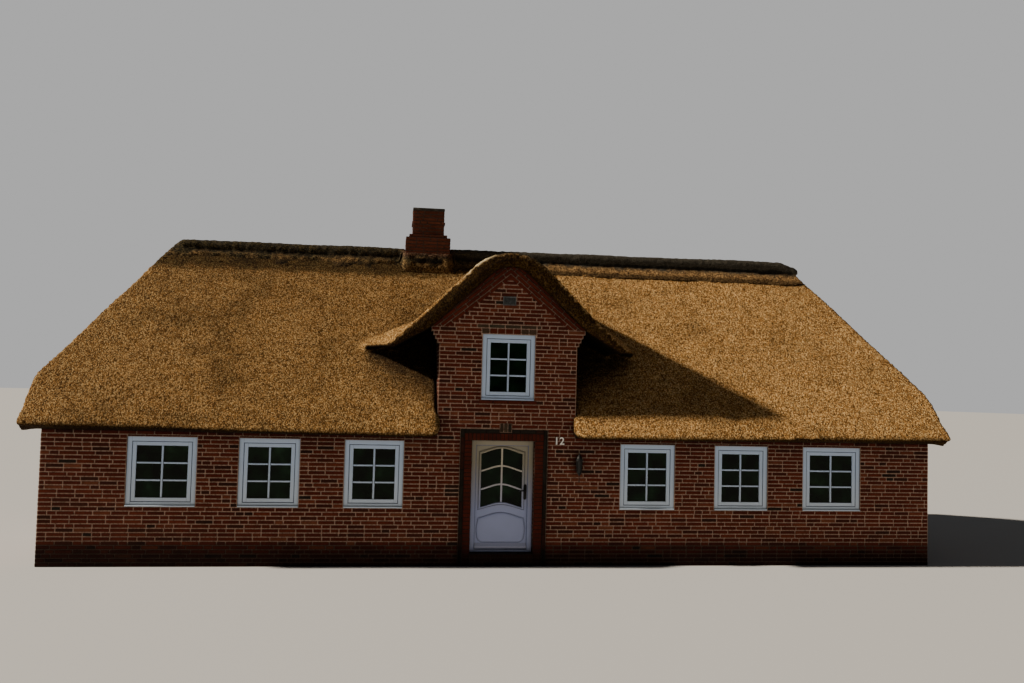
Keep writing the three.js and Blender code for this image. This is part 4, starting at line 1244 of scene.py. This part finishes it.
def roughen(bm, lump, sway, size, keep_low):
    """Pushes the surface in and out like clumps of straw, and keeps it inside the house's box."""
    bm.normal_update()
    low, high = (Vector(corner) for corner in CAD_BOX)
    # Small lumps on the large ones, slow waves under both, and less of each where it faces down
    small, finer, slow, underside = 0.6, 2.3, 0.9, 0.4
    for vert in bm.verts:
        at = vert.co
        amount = lump * noise.noise(at * size) + small * lump * noise.noise(at * size * finer)
        amount += sway * noise.noise(at * slow)
        if vert.normal.z < keep_low:
            amount *= underside
        moved = at + vert.normal * amount
        vert.co = [min(max(moved[i], low[i]), high[i]) for i in range(3)]


def halved(bm, direction):
    """Keeps one side of the ridge line and closes the cut."""
    geometry = bm.verts[:] + bm.edges[:] + bm.faces[:]
    cut = bmesh.ops.bisect_plane(bm, geom=geometry, dist=1e-6, plane_co=(0, 0, 0), plane_no=(0, direction, 0),
                                 clear_outer=True)
    edges = [g for g in cut["geom_cut"] if isinstance(g, bmesh.types.BMEdge)]
    bmesh.ops.triangle_fill(bm, use_beauty=True, edges=edges, normal=(0, direction, 0))


def round_eave_ends(bm, radius=0.13):
    """Rounds the two ends of the long eave that stop beside the gable, and laps them over its corners."""
    eave_top, overhang, lap = 2.7, 0.31, 0.035
    under, fade = 2.30, 0.12
    for vert in bm.verts:
        x, y, z = vert.co
        inside = abs(x - DORMER_X) - DORMER_HALF
        if y < FACADE and z < eave_top and -0.05 < inside < radius:
            short = radius - math.sqrt(max(radius ** 2 - (radius - max(inside, 0)) ** 2, 0))
            reach = FACADE - y
            pull = short * reach / overhang
            over = lap * (1 - max(inside, 0) / radius)
            lift = 0.7 * short * min(max((under - z) / fade, 0.0), 1.0)
            vert.co = (x - math.copysign(over, x - DORMER_X), y + pull, z + 0.6 * pull + lift)


def drop_nose(bm, drop=0.030, width=0.22):
    """Bends the outermost straw of the eaves down, as its own weight does."""
    clear, eave_top, lowest = 0.05, 2.6, 2.125
    for vert in bm.verts:
        x, y, z = vert.co
        out = max(abs(y) + FACADE - clear, (abs(x) - HOUSE_END - clear) if abs(y) < 3.1 else 0.0)
        if z < eave_top and out > 0:
            vert.co.z = max(z - drop * min(out / width, 1.0), lowest)


def mark_cut_and_shaded_straw(bm):
    """Marks where straw is cut across, and so darkened partly as cut ends and partly as painted shade: the
    dormer's front edge and everything that faces down.
    """
    bm.normal_update()
    cut = bm.verts.layers.float.new("cut")
    for vert in bm.verts:
        face = vert.normal
        if face.z < -0.35 or (vert.co.y < FACADE + 0.04 and vert.co.z > 3.3 and face.z < 0.42):
            vert[cut] = 1.0


class COTTAGE_OT_thatch(bpy.types.Operator):
    """The thatched slopes, hips and dormer"""
    bl_idname = "cottage.thatch"
    bl_label = "Thatch"

    def execute(self, context):
        size = context.scene.cottage_thatch
        front = ["thatch_front_left", "thatch_front_right", "thatch_over_dormer", "thatch_dormer"]
        back = ["thatch_back", "thatch_hip_left", "thatch_hip_right"]
        whole = remeshed(front + back, size.grain)
        relax(whole, whole.verts, (0.5, -0.52) * 3)
        # The dormer's rim again, until its crown is round
        relax(whole, [v for v in whole.verts if v.co.y < -2.7 and v.co.z > 3.3], (0.5, -0.52) * 10)
        drop_nose(whole)
        round_eave_ends(whole)
        roughen(whole, size.lump, size.sway, 21.0, -0.3)
        mark_cut_and_shaded_straw(whole)
        other = whole.copy()
        halved(whole, 1)
        put("thatch_front", whole, "reed", front, smooth=80)
        halved(other, -1)
        put("thatch_rear", other, "reed", back, smooth=80)
        return {"FINISHED"}


def fray_hem(bm, width=0.16):
    """Lets the lower edge of the skirt sink unevenly into the straw, most on the left."""
    bank_hem, bank_half, skirt_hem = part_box("ridge_cover")[0].z, 0.49, 5.255
    least, more = 0.022, 0.064
    bm.normal_update()
    for vert in bm.verts:
        x, y, z = vert.co
        hem = bank_hem if abs(x - STACK_X) < bank_half else skirt_hem
        near = 1 - (z - hem) / width
        if near > 0 and vert.normal.z > -0.6:
            left = min(max((STACK_X + 1.0 - x) / 1.2, 0.0), 1.0)
            uneven = 0.8 + 1.3 * noise.noise(Vector((x * 2.3, y, z * 2.0)))
            sink = (least + more * left) * min(near * 1.6, 1.0) * max(uneven, 0.0)
            vert.co -= Vector((0, math.copysign(0.7, y), 0.7)) * sink


def pack_bank(bm):
    """Shapes the hand-packed bank round the chimney: it tapers into the skirt on both sides."""
    ridge, roll_radius = 5.594, 0.125
    bank_half, taper, bank_top, flare = 0.51, 0.05, 5.575, 0.16
    bank = []
    for vert in bm.verts:
        x, y, z = vert.co
        side = abs(x - STACK_X)
        if side < 0.72 and abs(y) > 0.20 and z > 5.14:
            full = min(max((bank_half - side) / taper, 0.0), 1.0)
            bank_reach = 0.322 + max(5.57 - z, 0.0) * flare
            roll_height = 5.572 if x < STACK_X else 5.600
            roll = math.sqrt(max(roll_radius ** 2 - (z - roll_height) ** 2, 0.0))
            reach = max(ridge - z, roll) * (1 - full) + bank_reach * full
            vert.co.y = math.copysign(min(abs(y), max(reach, 0.06)), y)
            if full > 0:
                vert.co.z = min(z, bank_top)
            bank.append(vert)
    return bank


def mark_shaded_hollows(bm, rounds=3):
    """Marks how deep each point lies in a dip of the surface, for the painted shade of the ridge's creases.
    """
    deepest = 0.0016
    hollow_shade = bm.verts.layers.float.new("hollow_shade")
    bm.normal_update()
    depth = {}
    for vert in bm.verts:
        around = [edge.other_vert(vert) for edge in vert.link_edges]
        middle = sum((other.co for other in around), Vector()) / len(around)
        depth[vert] = (middle - vert.co).dot(vert.normal)
    for _ in range(rounds):
        depth = {vert: (value + sum(depth[edge.other_vert(vert)] for edge in vert.link_edges))
                 / (1 + len(vert.link_edges)) for vert, value in depth.items()}
    for vert, value in depth.items():
        vert[hollow_shade] = min(max(value / deepest, 0.0), 1.0)


class COTTAGE_OT_ridge(bpy.types.Operator):
    """The heather ridge with its round roll and skirt"""
    bl_idname = "cottage.ridge"
    bl_label = "Ridge"

    def execute(self, context):
        size = context.scene.cottage_thatch

        def core(bm):
            """Fills the cover, so that the remeshed ridge is one solid bank."""
            end = 6.26
            plate(bm, [(-end, -0.30, 5.22), (-end, 0.0, 5.52), (-end, 0.30, 5.22), (-end, 0.0, 5.05)],
                  (2 * end, 0, 0))
            block(bm, (STACK_X - 0.45, -0.31, 5.1), (STACK_X + 0.45, 0.31, 5.58))

        bm = remeshed(["ridge_cover"], size.ridge_grain, core)
        relax(bm, bm.verts, [0.5] * 2)
        relax(bm, pack_bank(bm), [0.5] * 6)
        roughen(bm, 0.011, 0.018, 13.0, -2.0)
        mark_shaded_hollows(bm)
        fray_hem(bm)
        put("heather_ridge", bm, "heather", ["ridge_cover"], smooth=80)
        return {"FINISHED"}


class COTTAGE_OT_stage(bpy.types.Operator):
    """Pale floor and surround, a low sun and the camera"""
    bl_idname = "cottage.stage"
    bl_label = "Stage"

    def execute(self, context):
        size = context.scene.cottage_stage
        fwd = Vector((math.sin(size.yaw) * math.cos(size.pitch), math.cos(size.yaw) * math.cos(size.pitch),
                      math.sin(size.pitch)))
        right = Vector((math.cos(size.yaw), -math.sin(size.yaw), 0))
        up = right.cross(fwd)
        across = right * math.cos(size.roll) + up * math.sin(size.roll)
        above = up * math.cos(size.roll) - right * math.sin(size.roll)
        eye = bpy.data.cameras.new("camera")
        eye.sensor_fit = "HORIZONTAL"
        eye.sensor_width = 36.0
        eye.lens = size.focal_pixels / 1024 * eye.sensor_width
        eye.clip_end = 400.0
        camera = bpy.data.objects.new("camera", eye)
        camera.matrix_world = Matrix.Translation(size.stand) @ Matrix(
            (across, above, -fwd)).transposed().to_4x4()
        context.scene.collection.objects.link(camera)
        context.scene.camera = camera

        bm = bmesh.new()
        bmesh.ops.create_circle(bm, cap_ends=True, radius=160.0, segments=96)
        floor = link_mesh("floor", bm)
        floor.data.materials.append(material("pale_floor", Roughness=0.9, Base_Color=size.floor[:])[0])

        world = context.scene.world or bpy.data.worlds.new("surround")
        context.scene.world = world
        world.use_nodes = True
        tree = world.node_tree
        # The surround looks paler than it shines, so that the sun's shadows keep their depth
        seen = add(tree, "LightPath").outputs["Is Camera Ray"]
        level = add(tree, "MapRange", (seen, 0.0, 1.0, 0.065, 0.62))
        back = tree.nodes.get("Background") or add(tree, "Background")
        feed(tree, back, {"Color": size.sky[:], "Strength": level})

        # A low sun on the left that grazes the front, softened by the pale surround
        lamp = bpy.data.lights.new("key", "SUN")
        lamp.energy = 6.8
        lamp.angle = math.radians(2.2)
        lamp.color = linear("#fff1dc")[:3]
        key = bpy.data.objects.new("key", lamp)
        toward = Vector((-0.87, -0.02, 0.49))
        key.matrix_world = toward.to_track_quat("Z", "Y").to_matrix().to_4x4()
        context.scene.collection.objects.link(key)
        return {"FINISHED"}


class COTTAGE_PT_panel(bpy.types.Panel):
    bl_label = "Cottage"
    bl_idname = "COTTAGE_PT_panel"
    bl_space_type = "VIEW_3D"
    bl_region_type = "UI"
    bl_category = "Cottage"

    def draw(self, context):
        for operator in OPERATORS:
            self.layout.operator(operator.bl_idname)
        for key in SETTINGS:
            group = getattr(context.scene, key)
            box = self.layout.box()
            for name in group.__annotations__:
                box.prop(group, name)


SETTINGS = {
    "cottage_brick": BrickSettings,
    "cottage_thatch": ThatchSettings,
    "cottage_joinery": JoinerySettings,
    "cottage_stage": StageSettings,
}
OPERATORS = (
    COTTAGE_OT_stage, COTTAGE_OT_walls, COTTAGE_OT_gable, COTTAGE_OT_surround, COTTAGE_OT_chimney,
    COTTAGE_OT_windows, COTTAGE_OT_door, COTTAGE_OT_handle, COTTAGE_OT_lantern, COTTAGE_OT_number,
    COTTAGE_OT_thatch, COTTAGE_OT_ridge,
)


def register():
    for one in (*SETTINGS.values(), *OPERATORS, COTTAGE_PT_panel):
        bpy.utils.register_class(one)
    for key, group in SETTINGS.items():
        setattr(bpy.types.Scene, key, PointerProperty(type=group))


def unregister():
    for key in SETTINGS:
        delattr(bpy.types.Scene, key)
    for one in (COTTAGE_PT_panel, *reversed(OPERATORS), *reversed(list(SETTINGS.values()))):
        bpy.utils.unregister_class(one)


def main():
    register()
    for operator in OPERATORS:
        group, call = operator.bl_idname.split(".")
        getattr(getattr(bpy.ops, group), call)()


if __name__ == "__main__":
    main()
